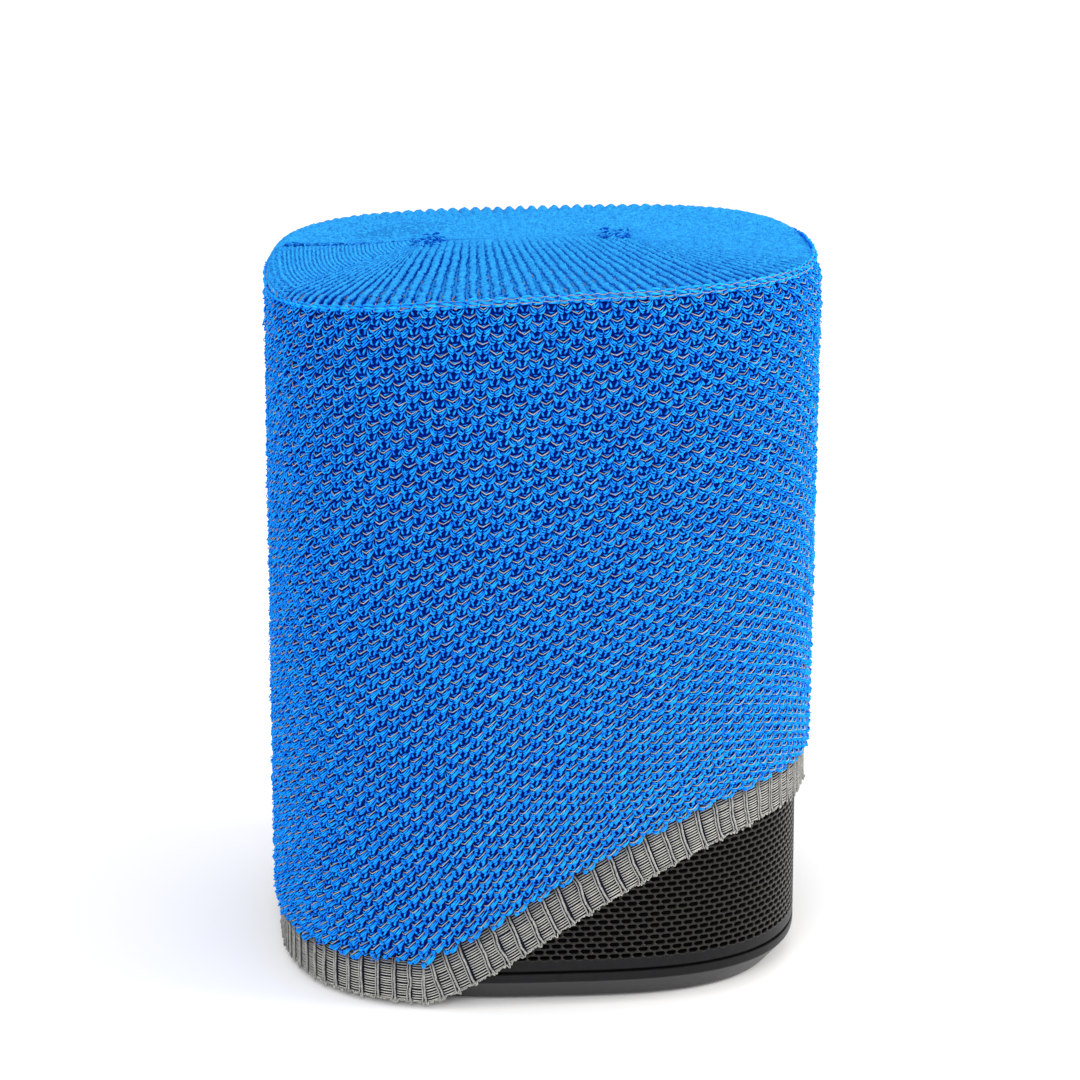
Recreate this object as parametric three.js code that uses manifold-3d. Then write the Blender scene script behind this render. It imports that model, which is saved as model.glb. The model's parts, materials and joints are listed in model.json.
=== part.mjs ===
// A compact smart speaker: a rounded-square tower with a perforated metal grille, a two-way
// driver pair in a sealed cabinet, its electronics, and a knitted cover that pulls on from above.
// Units are millimetres, +Z is up, the front faces -Y, and the origin is the middle of the underside.
import * as THREE from "three";
import { ParametricGeometry } from "three/addons/geometries/ParametricGeometry.js";
import { mergeVertices } from "three/addons/utils/BufferGeometryUtils.js";
import Module from "manifold-3d";

const wasm = await Module();
wasm.setup();

// Driving dimensions.
const HALF_WIDTH = 60; // of the grille, across the flats
const SQUARENESS = 3; // exponent of the rounded-square plan: 2 is a circle
const HEIGHT = 161.5; // of the bare speaker
const GAP = 0.3; // left between neighbouring pieces
const PLAN_POINTS = 64; // facets round each shell

const SEAM_Z = 8.0; // top of the base shell, where the dark seam starts
const SEAM = 0.6; // height of that seam
const BAND_Z = 6.3; // below it the base tapers in
const TAPER = 5.1; // how far the base tapers in
const TAPER_FOOT_Z = 0.9; // lowest edge of the taper
const GRILLE_THICK = 1.0;
const GRILLE_TOP_Z = 157.2;
const PANEL_Z = 157.6; // underside of the top panel
const TONGUE_OUT = -1.6; // the tongues that centre the grille, as offsets from the plan
const TONGUE_IN = -3.4;

const FLOOR_Z = 11; // underside of the chassis floor
const FLOOR_THICK = 2;
const CABINET_OFFSET = -5;
const CABINET_WALL = 2.6;
const CABINET_Z = 36;
const CABINET_TOP_Z = 150;
const CABINET_REAR_Y = 40;
const BAFFLE_Y = -44; // front face of the baffle
const BAFFLE_THICK = 3.6;
const GASKET_THICK = 1.0;

const WOOFER_Z = 76.5;
const WOOFER_RADIUS = 37; // of the frame's flange
const WOOFER_EAR_RADIUS = 39; // where its screws stand
const TWEETER_Z = 132;
const TWEETER_RADIUS = 17;
const TWEETER_EAR_X = 18.5;

const RECESS = { x: 15, y0: 15.5, y1: 44, roof: 20, wall: 1.6 }; // the plug's pocket in the underside
const CHANNEL_HALF = 4.5; // half the width of the flex channel behind that pocket
const CHANNEL_Z = 7.1;
const INLET_Y = 30;
const PIN_X = 4.3;
const PIN_RADIUS = 1.2;

const PANEL_WINDOW = { x: 12, z0: 24, z1: 36 }; // the control panel in the back of the grille
const BUTTON = { x: 5, z: 30, half: 2.5, face: 59.3 };

const COVER_INSIDE = 0.6; // clearance of the knitted wall from the grille
const COVER_OUTSIDE = 3.8;
const COVER_TOP_Z = 165.2;
const HEM_WIDTH = 9.4;
const HEM_LOW = 1.6; // the hem's height where it is fully down
const HEM_RISE = 40.6; // how much higher it sits on the right
const HEM_RISE_FROM_X = -29;
const HEM_RISE_TO_X = 57;

const finish = (color, roughness, metalness = 0) =>
  new THREE.MeshStandardMaterial({ color, roughness, metalness });
const MATERIALS = {
  knit: finish(0x0f7df0, 0.9),
  rib: finish(0x7d8287, 0.9),
  grille: finish(0x1b1c1e, 0.45, 0.4),
  housing: finish(0x202124, 0.5),
  plastic: finish(0x2b2d30, 0.6),
  rubber: finish(0x17181a, 0.85),
  cloth: finish(0x0c0c0d, 0.95),
  cone: finish(0x26272a, 0.7),
  silk: finish(0x34363a, 0.6),
  spider: finish(0xb9893f, 0.85),
  ferrite: finish(0x3b3c3f, 0.7, 0.2),
  steel: finish(0xa9adb2, 0.35, 0.9),
  aluminium: finish(0xb8bcc2, 0.4, 0.8),
  board: finish(0x14532d, 0.5),
  copper: finish(0xb4703a, 0.35, 0.9),
  brass: finish(0xc2a050, 0.3, 0.9),
  light: finish(0xe8ecf0, 0.3),
};

const speaker = new THREE.Group();

// ---- Solids: three.js geometry in, manifold-3d booleans, three.js geometry out ----

function solid(geometry) {
  const bare = geometry.index ? geometry.toNonIndexed() : geometry.clone();
  bare.deleteAttribute("normal");
  bare.deleteAttribute("uv");
  const merged = mergeVertices(bare, 1e-3);
  const corners = merged.index.array;
  const kept = [];
  for (let i = 0; i < corners.length; i += 3) {
    const [a, b, c] = [corners[i], corners[i + 1], corners[i + 2]];
    if (a !== b && b !== c && c !== a) kept.push(a, b, c);
  }
  const build = (list) =>
    new wasm.Manifold(
      new wasm.Mesh({
        numProp: 3,
        vertProperties: merged.attributes.position.array,
        triVerts: new Uint32Array(list),
      }),
    );
  const made = build(kept);
  return made.volume() > 0 ? made : build(kept.reverse());
}

function geometryOf(shape) {
  const mesh = shape.getMesh();
  const geometry = new THREE.BufferGeometry();
  geometry.setAttribute("position", new THREE.BufferAttribute(mesh.vertProperties, 3));
  geometry.setIndex(new THREE.BufferAttribute(mesh.triVerts, 1));
  geometry.computeVertexNormals();
  return geometry;
}

function add(name, shape, material, position = [0, 0, 0], rotation = [0, 0, 0]) {
  const mesh = new THREE.Mesh(geometryOf(shape), material);
  mesh.name = name;
  mesh.position.set(...position);
  mesh.rotation.set(...rotation);
  speaker.add(mesh);
}

const block = (x0, x1, y0, y1, z0, z1) =>
  solid(
    new THREE.BoxGeometry(x1 - x0, y1 - y0, z1 - z0).translate(
      (x0 + x1) / 2,
      (y0 + y1) / 2,
      (z0 + z1) / 2,
    ),
  );

const rodY = (radius, x, z, y0, y1, sides = 24) =>
  solid(
    new THREE.CylinderGeometry(radius, radius, y1 - y0, sides).translate(x, (y0 + y1) / 2, z),
  );

const rodZ = (radius, x, y, z0, z1, sides = 20) =>
  solid(
    new THREE.CylinderGeometry(radius, radius, z1 - z0, sides)
      .rotateX(Math.PI / 2)
      .translate(x, y, (z0 + z1) / 2),
  );

// A turned piece about the Y axis: each point is [radius, y].
const turned = (points, sides = 28) =>
  solid(new THREE.LatheGeometry(points.map(([r, y]) => new THREE.Vector2(r, y)), sides));

const closed = (points) => [...points, points[0]];

// ---- The rounded-square plan ----

// The plan's point at a share of the way round, moved out by offset along the plan's normal.
function planPoint(share, offset = 0) {
  const angle = 2 * Math.PI * share;
  const c = Math.cos(angle);
  const s = Math.sin(angle);
  const reach = Math.abs(c) ** SQUARENESS + Math.abs(s) ** SQUARENESS;
  const radius = HALF_WIDTH * reach ** (-1 / SQUARENESS);
  const normal = new THREE.Vector2(
    Math.sign(c) * Math.abs(c) ** (SQUARENESS - 1),
    Math.sign(s) * Math.abs(s) ** (SQUARENESS - 1),
  ).normalize();
  return new THREE.Vector2(radius * c, radius * s).addScaledVector(normal, offset);
}

const planPoints = (offset) =>
  Array.from({ length: PLAN_POINTS }, (_, i) => planPoint(i / PLAN_POINTS, offset));

// A ring with one closed section all the way round: sectionAt(x, y) lists [offset, z] corners.
function ring(sectionAt) {
  const corners = sectionAt(0, 0).length;
  const place = (u, v, target) => {
    const foot = planPoint(Math.round(u * PLAN_POINTS) % PLAN_POINTS / PLAN_POINTS);
    const section = sectionAt(foot.x, foot.y);
    const [offset, z] = section[Math.round(v * corners) % corners];
    const at = planPoint((Math.round(u * PLAN_POINTS) % PLAN_POINTS) / PLAN_POINTS, offset);
    target.set(at.x, at.y, z);
  };
  return solid(new ParametricGeometry(place, PLAN_POINTS, corners));
}

const box = (outside, inside, z0, z1) => () => [
  [inside, z0],
  [outside, z0],
  [outside, z1],
  [inside, z1],
];

// A full plate in the plan's shape, with a chamfer round its upper edge if one is given.
function plate(offset, z0, z1, chamfer = 0) {
  const shape = new THREE.Shape(planPoints(offset));
  const flat = { depth: z1 - z0 - chamfer, bevelEnabled: false };
  const lower = solid(new THREE.ExtrudeGeometry(shape, flat).translate(0, 0, z0));
  if (!chamfer) return lower;
  const steps = 3;
  let made = lower;
  for (let i = 0; i < steps; i++) {
    const turn = ((i + 1) / steps) * (Math.PI / 2);
    const inset = chamfer * (1 - Math.cos(turn * 0.8));
    const rise = chamfer / steps;
    const layer = new THREE.ExtrudeGeometry(new THREE.Shape(planPoints(offset - inset)), {
      depth: rise + 0.01,
      bevelEnabled: false,
    });
    made = made.add(solid(layer.translate(0, 0, z1 - chamfer + i * rise - 0.01)));
  }
  return made;
}

// ---- Fasteners ----

// A pan-head screw whose head faces -Y, with a cross recess.
function screw(length, shankRadius, headRadius, headHeight) {
  const body = turned(
    [
      [0, 0],
      [headRadius * 0.75, 0],
      [headRadius, headHeight * 0.4],
      [headRadius, headHeight],
      [shankRadius, headHeight],
      [shankRadius, length - shankRadius],
      [0, length],
    ],
    12,
  );
  const arm = headRadius * 0.55;
  const slot = headRadius * 0.12;
  const depth = headHeight * 0.55;
  return body
    .subtract(block(-arm, arm, -1, depth, -slot, slot))
    .subtract(block(-slot, slot, -1, depth, -arm, arm));
}

// ---- The knitted cover ----

// Height of the hem's lower edge: down on the left, pulled up towards the right.
function hemBottom(x) {
  const share = (x - HEM_RISE_FROM_X) / (HEM_RISE_TO_X - HEM_RISE_FROM_X);
  const clamped = THREE.MathUtils.clamp(share, 0, 1);
  return HEM_LOW + HEM_RISE * Math.sin((Math.PI / 2) * clamped ** 1.2);
}

function cover() {
  const wallTop = HEIGHT - GAP;
  add(
    "cover_wall",
    ring((x) => {
      const z = hemBottom(x) + HEM_WIDTH + GAP;
      return [
        [COVER_INSIDE, z],
        [COVER_OUTSIDE, z],
        [COVER_OUTSIDE, wallTop],
        [COVER_INSIDE, wallTop],
      ];
    }),
    MATERIALS.knit,
  );
  add("cover_top", plate(COVER_OUTSIDE, HEIGHT + GAP, COVER_TOP_Z, 2.2), MATERIALS.knit);
  add(
    "cover_hem",
    ring((x) => {
      const z = hemBottom(x);
      return [
        [COVER_INSIDE, z],
        [COVER_INSIDE + 1.6, z],
        [COVER_INSIDE + 1.6, z + HEM_WIDTH],
        [COVER_INSIDE, z + HEM_WIDTH],
      ];
    }),
    MATERIALS.rib,
  );
}

// ---- Base: the shell it stands in, the plug's recess and the inlet ----

const PLATE_Z0 = 1.5;
const PLATE_Z1 = 4.5;
const BASE_SCREWS = [1, -1].flatMap((x) => [1, -1].map((y) => [33 * x, 33 * y]));

function base() {
  const channel = block(
    -CHANNEL_HALF,
    CHANNEL_HALF,
    RECESS.y1 - 2 * RECESS.wall,
    HALF_WIDTH + 5,
    -1,
    CHANNEL_Z,
  );

  const shellRing = ring(() => [
    [-TAPER, TAPER_FOOT_Z],
    [0, BAND_Z],
    [0, SEAM_Z],
    [TONGUE_OUT, SEAM_Z],
    [TONGUE_OUT, FLOOR_Z - 0.5],
    [TONGUE_IN, FLOOR_Z - 0.5],
    [TONGUE_IN, BAND_Z + 0.6],
    [-TAPER - 2.1, 2.7],
    [-TAPER - 2.1, TAPER_FOOT_Z],
  ]);
  add("base_shell", shellRing.subtract(channel), MATERIALS.housing);

  const foot = ring(box(-9, -14, 0, PLATE_Z0 - GAP));
  add("foot_pad", foot.subtract(channel), MATERIALS.rubber);

  const tub = block(
    -RECESS.x - RECESS.wall,
    RECESS.x + RECESS.wall,
    RECESS.y0 - RECESS.wall,
    RECESS.y1 + RECESS.wall,
    PLATE_Z0,
    RECESS.roof + RECESS.wall,
  );
  const pocket = block(-RECESS.x, RECESS.x, RECESS.y0, RECESS.y1, -1, RECESS.roof);
  const inletHole = block(-10.3, 10.3, INLET_Y - 6.8, INLET_Y + 6.8, 10, 40);
  let bottom = plate(-TAPER - 2.4, PLATE_Z0, PLATE_Z1).add(tub);
  bottom = bottom.subtract(pocket).subtract(inletHole).subtract(channel);
  for (const [x, y] of BASE_SCREWS) {
    bottom = bottom.subtract(rodZ(3.0, x, y, -1, 3.4)).subtract(rodZ(1.5, x, y, -1, 10));
  }
  add("bottom_plate", bottom, MATERIALS.plastic);

  BASE_SCREWS.forEach(([x, y], i) =>
    add(
      `base_screw_${i + 1}`,
      screw(8.6, 1.2, 2.6, 1.5),
      MATERIALS.steel,
      [x, y, PLATE_Z0 + 0.1],
      [Math.PI / 2, 0, 0],
    ),
  );

  const clear = RECESS.wall + GAP;
  let chassis = plate(CABINET_OFFSET, FLOOR_Z, FLOOR_Z + FLOOR_THICK);
  for (const [x, y] of BASE_SCREWS) chassis = chassis.add(rodZ(3.4, x, y, 4.8, FLOOR_Z + 1));
  for (const x of [-33, 33])
    for (const y of [-37, 3]) chassis = chassis.add(rodZ(2.2, x, y, FLOOR_Z + 1, 15.2));
  for (const [x, y] of BASE_SCREWS) chassis = chassis.subtract(rodZ(1.5, x, y, 0, FLOOR_Z + 1));
  chassis = chassis.subtract(
    block(
      -RECESS.x - clear,
      RECESS.x + clear,
      RECESS.y0 - clear,
      RECESS.y1 + clear,
      0,
      RECESS.roof,
    ),
  );
  add("chassis_floor", chassis, MATERIALS.plastic);

  const wallZ0 = FLOOR_Z + FLOOR_THICK + GAP;
  const compartment = ring(box(CABINET_OFFSET, CABINET_OFFSET - 2, wallZ0, CABINET_Z - GAP));
  const switchGap = block(-14.5, 14.5, 40, 65, 22, CABINET_Z);
  add("base_compartment_wall", compartment.subtract(switchGap), MATERIALS.plastic);

  const flangeZ = RECESS.roof - GAP;
  let inlet = block(-10, 10, INLET_Y - 6.5, INLET_Y + 6.5, flangeZ - 1.2, 31);
  inlet = inlet.add(block(-12.5, 12.5, INLET_Y - 9, INLET_Y + 9, flangeZ - 1.2, flangeZ));
  inlet = inlet.subtract(block(-8.2, 8.2, INLET_Y - 4.5, INLET_Y + 4.5, 10, 26.6));
  for (const x of [-PIN_X, PIN_X])
    inlet = inlet.subtract(rodZ(PIN_RADIUS + GAP, x, INLET_Y, 20, 40, 16));
  add("power_inlet", inlet, MATERIALS.plastic);
  [-PIN_X, PIN_X].forEach((x, i) =>
    add(`inlet_pin_${i + 1}`, rodZ(PIN_RADIUS, x, INLET_Y, 20.2, 33, 16), MATERIALS.brass),
  );
}

// ---- Outer shell: grille, its cloth, the rear controls and the top panel ----

function outerShell() {
  const window = (grow, y0, y1) =>
    block(
      -PANEL_WINDOW.x - grow,
      PANEL_WINDOW.x + grow,
      y0,
      y1,
      PANEL_WINDOW.z0 - grow,
      PANEL_WINDOW.z1 + grow,
    );
  const grille = ring(box(0, -GRILLE_THICK, SEAM_Z + SEAM, GRILLE_TOP_Z));
  add("grille", grille.subtract(window(GAP, 50, 65)), MATERIALS.grille);

  const cloth = ring(box(-1.4, -2.0, FLOOR_Z, 154.6));
  add("grille_cloth", cloth.subtract(window(2 * GAP, 50, 65)), MATERIALS.cloth);

  const clear = 0.35;
  let panel = window(0, 55.5, 59.5).subtract(
    block(
      -BUTTON.x - clear,
      BUTTON.x + clear,
      50,
      65,
      BUTTON.z - BUTTON.half - clear,
      BUTTON.z + BUTTON.half + clear,
    ),
  );
  for (const x of [-9.5, 9.5]) panel = panel.add(rodY(1.6, x, BUTTON.z, 50.3, 56, 16));
  add("rear_control_panel", panel, MATERIALS.housing);

  const cap = block(
    -BUTTON.x,
    BUTTON.x,
    BUTTON.face - 1.8,
    BUTTON.face,
    BUTTON.z - BUTTON.half,
    BUTTON.z + BUTTON.half,
  );
  add("pair_button", cap.add(rodY(1.5, 0, BUTTON.z, 55.1, BUTTON.face - 1, 16)), MATERIALS.rubber);

  let top = plate(0, PANEL_Z, HEIGHT, 1.8);
  top = top.add(ring(box(TONGUE_OUT, TONGUE_IN, 155, PANEL_Z + 0.5)));
  top = top.subtract(rodZ(1.5, 0, -40, 150, 170, 16));
  for (const y of [-30, 30]) top = top.subtract(rodZ(0.6, 22, y, 150, 170, 12));
  add("top_panel", top, MATERIALS.housing);
  add("led_light_pipe", rodZ(1.2, 0, -40, 156, HEIGHT - 0.1, 16), MATERIALS.light);
  add(
    "top_frame",
    ring(box(CABINET_OFFSET, CABINET_OFFSET - 3, CABINET_TOP_Z + GAP, 154)),
    MATERIALS.plastic,
  );
}

// ---- Sealed cabinet ----

// The part of the plan's prism that lies between two depths and two heights.
function slice(offset, y0, y1, z0, z1) {
  return plate(offset, z0, z1).intersect(block(-80, 80, y0, y1, z0 - 1, z1 + 1));
}

function cabinet() {
  const baffleBack = BAFFLE_Y + BAFFLE_THICK;
  const gasketBack = baffleBack + GAP + GASKET_THICK;
  const inside = CABINET_OFFSET - CABINET_WALL;
  const hollow = (y0, y1) =>
    slice(inside, y0, y1, CABINET_Z + CABINET_WALL, CABINET_TOP_Z - CABINET_WALL);
  let tub = slice(
    CABINET_OFFSET,
    gasketBack + GAP,
    CABINET_REAR_Y,
    CABINET_Z,
    CABINET_TOP_Z,
  ).subtract(hollow(-80, CABINET_REAR_Y - CABINET_WALL));
  for (const x of [-30, 30])
    for (const z of [58, 136]) tub = tub.add(rodY(3, x, z, CABINET_REAR_Y - 1, 44.7, 16));
  add("cabinet", tub, MATERIALS.plastic);

  const gasket = slice(
    CABINET_OFFSET,
    baffleBack + GAP,
    gasketBack,
    CABINET_Z,
    CABINET_TOP_Z,
  ).subtract(hollow(-80, 0));
  add("baffle_gasket", gasket, MATERIALS.rubber);

  let baffle = slice(CABINET_OFFSET, BAFFLE_Y, baffleBack, CABINET_Z, CABINET_TOP_Z);
  baffle = baffle.subtract(rodY(34.5, 0, WOOFER_Z, -60, 0, 40));
  baffle = baffle.subtract(rodY(14.7, 0, TWEETER_Z, -60, 0, 32));
  for (const [x, z] of [...WOOFER_SCREWS, ...TWEETER_SCREWS])
    baffle = baffle.subtract(rodY(1.5, x, z, -60, 0, 14));
  add("front_baffle", baffle, MATERIALS.plastic);
}

// ---- Woofer: turned about the Y axis through its own centre, facing -Y ----

const EAR = WOOFER_EAR_RADIUS * Math.SQRT1_2;
const WOOFER_SCREWS = [1, -1].flatMap((x) => [1, -1].map((z) => [EAR * x, WOOFER_Z + EAR * z]));
const FLANGE_Y = -46.2; // front face of both drivers' flanges
const FLANGE_BACK_Y = BAFFLE_Y - GAP;

function woofer() {
  const at = [0, 0, WOOFER_Z];

  let frame = turned(
    closed([
      [WOOFER_RADIUS, FLANGE_Y],
      [WOOFER_RADIUS, FLANGE_BACK_Y],
      [34, FLANGE_BACK_Y],
      [24.5, -18],
      [13.5, -18],
      [13.5, -20],
      [23.2, -20],
      [31, -42],
      [31, FLANGE_Y],
    ]),
  );
  for (const x of [EAR, -EAR])
    for (const z of [EAR, -EAR]) {
      frame = frame.add(rodY(4.2, x, z, FLANGE_Y, FLANGE_BACK_Y, 20));
      frame = frame.subtract(rodY(1.5, x, z, -60, -40, 14));
    }
  for (let i = 0; i < 6; i++) {
    const opening = new THREE.BoxGeometry(16, 15, 30).translate(0, -31, 30);
    frame = frame.subtract(solid(opening.rotateY((i * Math.PI) / 3)));
  }
  add("woofer_frame", frame, MATERIALS.steel, at);

  const roll = (radius) =>
    Array.from({ length: 6 }, (_, i) => {
      const turn = (i / 5) * Math.PI;
      return [29.2 + radius * Math.cos(turn), -47 - radius * 1.1 * Math.sin(turn)];
    });
  const surround = closed([
    [35.8, -46.5],
    [35.8, -47.2],
    ...roll(2.7),
    [24.6, -47.2],
    [24.6, -46.5],
    ...roll(2.1).reverse(),
  ]);
  add("woofer_surround", turned(surround), MATERIALS.rubber, at);

  const cone = [
    [26.2, -46.1],
    [26.2, -45.2],
    [11, -32.6],
    [10.45, -32.6],
    [10.45, -33.5],
  ];
  add("woofer_cone", turned(closed(cone)), MATERIALS.cone, at);

  // A shallow dome between the axis and a rim radius, its middle standing forward by rise.
  const dome = (rim, rimY, rise) =>
    Array.from({ length: 5 }, (_, i) => {
      const share = i / 4;
      return [rim * share, rimY - rise * (1 - share * share)];
    });
  const cap = [...dome(11.4, -35.1, 3.4), ...dome(11.2, -34.6, 3.3).reverse()];
  add("woofer_dust_cap", turned(cap, 24), MATERIALS.cone, at);

  const coil = [
    [9.75, -33],
    [10.15, -33],
    [10.15, -19.5],
    [10.8, -19.5],
    [10.8, -11.5],
    [9.75, -11.5],
  ];
  add("woofer_voice_coil", turned(closed(coil)), MATERIALS.copper, at);

  const ripple = (y) =>
    Array.from({ length: 10 }, (_, i) => [10.5 + i * 1.6, y + 0.8 * Math.sin(i * 1.6)]);
  const spider = closed([...ripple(-27.2), ...ripple(-26.7).reverse()]);
  add("woofer_spider", turned(spider), MATERIALS.spider, at);

  const washer = (inner, outer, y0, y1) =>
    closed([
      [inner, y0],
      [outer, y0],
      [outer, y1],
      [inner, y1],
    ]);
  add("woofer_top_plate", turned(washer(11.3, 26, -17.7, -13.3)), MATERIALS.steel, at);
  add("woofer_magnet", turned(washer(13.5, 28, -13, -1)), MATERIALS.ferrite, at);
  const yoke = [
    [0, -17.7],
    [9.3, -17.7],
    [9.3, -0.7],
    [26, -0.7],
    [26, 4.3],
    [0, 4.3],
  ];
  add("woofer_yoke", turned(yoke), MATERIALS.steel, at);

  WOOFER_SCREWS.forEach(([x, z], i) =>
    add(`woofer_screw_${i + 1}`, screw(9.5, 1.2, 2.6, 1.6), MATERIALS.steel, [
      x,
      FLANGE_Y - GAP - 1.6,
      z,
    ]),
  );
}

// ---- Tweeter ----

const TWEETER_SCREWS = [-TWEETER_EAR_X, TWEETER_EAR_X].map((x) => [x, TWEETER_Z]);

function tweeter() {
  const at = [0, 0, TWEETER_Z];
  let face = turned(
    closed([
      [TWEETER_RADIUS, FLANGE_Y],
      [TWEETER_RADIUS, FLANGE_BACK_Y],
      [14.2, FLANGE_BACK_Y],
      [14.2, -41.5],
      [11.6, -41.5],
      [11.2, -42.4],
      [13.8, FLANGE_Y],
    ]),
  );
  for (const x of [-TWEETER_EAR_X, TWEETER_EAR_X]) {
    const ear = rodY(4, x, 0, FLANGE_Y, FLANGE_BACK_Y, 20);
    face = face.add(ear).subtract(rodY(1.5, x, 0, -60, -40, 14));
  }
  add("tweeter_faceplate", face, MATERIALS.plastic, at);

  const bulge = (rim, rimY, rise) =>
    Array.from({ length: 6 }, (_, i) => {
      const share = i / 5;
      return [rim * share, rimY - rise * Math.sqrt(1 - share * share * 0.98)];
    });
  const diaphragm = [
    ...bulge(10.3, -42, 3.6),
    [10.3, -37.5],
    [9.9, -37.5],
    ...bulge(9.9, -41.7, 3.4).reverse(),
  ];
  add("tweeter_dome", turned(diaphragm, 24), MATERIALS.silk, at);

  const motor = [
    [0, -41],
    [9.4, -41],
    [9.4, -34],
    [10.8, -34],
    [10.8, -41],
    [13.8, -41],
    [13.8, -28],
    [0, -28],
  ];
  add("tweeter_magnet", turned(motor), MATERIALS.steel, at);

  TWEETER_SCREWS.forEach(([x, z], i) =>
    add(`tweeter_screw_${i + 1}`, screw(8, 1.2, 2.4, 1.5), MATERIALS.steel, [
      x,
      FLANGE_Y - GAP - 1.5,
      z,
    ]),
  );
}

// ---- Electronics ----

// A lead along a smooth curve through the given points.
function lead(radius, points, steps) {
  const section = new THREE.Shape().absarc(0, 0, radius, 0, 2 * Math.PI);
  const path = new THREE.CatmullRomCurve3(points.map((p) => new THREE.Vector3(...p)));
  return solid(
    new THREE.ExtrudeGeometry(section, { steps, extrudePath: path, curveSegments: 8 }),
  );
}

function electronics() {
  add("main_board", block(-34, 34, 45, 46.6, 52, 142), MATERIALS.board);

  const can = block(-22, 6, 46.9, 50.4, 58, 86).subtract(block(-21.4, 5.4, 46, 49.8, 58.6, 85.4));
  add("processor_shield", can, MATERIALS.steel);

  let sink = block(-28, 28, 46.9, 49.4, 96, 138);
  for (let i = 0; i < 9; i++) {
    const x = -27.3 + i * 6.65;
    sink = sink.add(block(x, x + 1.4, 49, 55.4, 96, 138));
  }
  add("heat_sink", sink, MATERIALS.aluminium);

  for (const side of [-1, 1]) {
    const name = side < 0 ? "antenna_left" : "antenna_right";
    add(name, block(42 * side - 4.5, 42 * side + 4.5, 40.3, 41.1, 104, 142), MATERIALS.board);
  }

  add("psu_board", block(-38, 38, -41, 8, 15.5, 17.1), MATERIALS.board);
  add("transformer", block(-30, -6, -30, -8, 17.4, 33.5), MATERIALS.ferrite);
  add("capacitor", rodZ(7, 16, -20, 17.4, 34, 28), MATERIALS.aluminium);

  add("touch_board", plate(CABINET_OFFSET - 1, 154.3, 155.7), MATERIALS.board);
  [-30, 30].forEach((y, i) =>
    add(`microphone_${i + 1}`, block(20, 24, y - 1.5, y + 1.5, 156, 157.2), MATERIALS.brass),
  );

  add("button_board", block(-13, 13, 48.4, 50, 23, 37), MATERIALS.board);
  const switchBody = block(-3, 3, 50.3, 53, 27, 33).add(rodY(1.7, 0, 30, 52.5, 53.9, 16));
  add("tact_switch", switchBody, MATERIALS.plastic);

  const ribbonPath = [
    [0, 44.8, 153.7],
    [0, 46.5, 152.9],
    [0, 47.2, 151],
    [0, 47.2, 142.4],
  ];
  const inner = ribbonPath.map(([, y, z]) => new THREE.Vector2(y, z));
  const outer = ribbonPath.map(([, y, z]) => new THREE.Vector2(y + 0.4, z + 0.3)).reverse();
  const ribbon = new THREE.ExtrudeGeometry(new THREE.Shape([...inner, ...outer]), {
    depth: 12,
    bevelEnabled: false,
  });
  // The outline is drawn in Y and Z, so its plane is turned to stand along X.
  const standing = new THREE.Matrix4().makeBasis(
    new THREE.Vector3(0, 1, 0),
    new THREE.Vector3(0, 0, 1),
    new THREE.Vector3(1, 0, 0),
  );
  add("touch_ribbon", solid(ribbon.applyMatrix4(standing).translate(-6, 0, 0)), MATERIALS.spider);

  add("terminal_block", block(14, 26, 33, 37.1, 62, 68), MATERIALS.plastic);
  add(
    "woofer_lead",
    lead(1.1, [
      [19, -17, 47],
      [26, -8, 45],
      [34, 10, 48],
      [27, 24, 58],
      [17.5, 31.5, 65],
    ], 16),
    MATERIALS.rubber,
  );
  add(
    "tweeter_lead",
    lead(1.1, [
      [6, -26.5, TWEETER_Z],
      [14, -14, 128],
      [30, 8, 112],
      [31, 22, 84],
      [22.5, 31.5, 66],
    ], 18),
    MATERIALS.rubber,
  );
}

cover();
base();
outerShell();
cabinet();
woofer();
tweeter();
electronics();

export default speaker;
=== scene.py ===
"""Looks for a compact smart speaker in a pull-on knitted cover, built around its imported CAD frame.

Lengths are in millimetres until a mesh is made, and +Z is up, with the front at -Y.
"""

import json
import math

import bmesh
import bpy
import numpy as np
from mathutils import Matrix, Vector
from numpy import arange, array, concatenate as join, cos, exp, full, linspace, pi, sin


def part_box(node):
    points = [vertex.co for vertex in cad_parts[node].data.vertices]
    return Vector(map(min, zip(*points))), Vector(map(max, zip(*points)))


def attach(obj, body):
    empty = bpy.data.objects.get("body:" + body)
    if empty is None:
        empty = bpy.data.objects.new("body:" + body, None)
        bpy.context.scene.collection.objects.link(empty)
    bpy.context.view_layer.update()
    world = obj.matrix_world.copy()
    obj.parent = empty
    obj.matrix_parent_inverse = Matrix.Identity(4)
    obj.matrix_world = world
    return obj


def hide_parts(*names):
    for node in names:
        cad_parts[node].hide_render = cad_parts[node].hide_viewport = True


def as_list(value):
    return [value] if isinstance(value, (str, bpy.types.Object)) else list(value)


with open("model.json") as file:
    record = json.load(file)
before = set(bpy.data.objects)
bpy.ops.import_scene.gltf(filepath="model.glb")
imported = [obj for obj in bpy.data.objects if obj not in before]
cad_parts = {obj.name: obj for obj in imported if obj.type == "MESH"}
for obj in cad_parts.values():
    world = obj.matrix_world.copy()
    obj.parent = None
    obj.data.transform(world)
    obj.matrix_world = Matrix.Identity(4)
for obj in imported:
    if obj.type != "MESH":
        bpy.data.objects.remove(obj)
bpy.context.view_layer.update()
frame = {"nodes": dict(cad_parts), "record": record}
nodes = frame["nodes"]
scene = bpy.context.scene
MM = 0.001
SEED = 7
rng = np.random.default_rng(SEED)
uniform, normal = rng.uniform, rng.normal
UP = array([0.0, 0.0, 1.0])
TAU = 2 * pi


def clamp(x):
    return np.clip(x, 0, 1)


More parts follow.
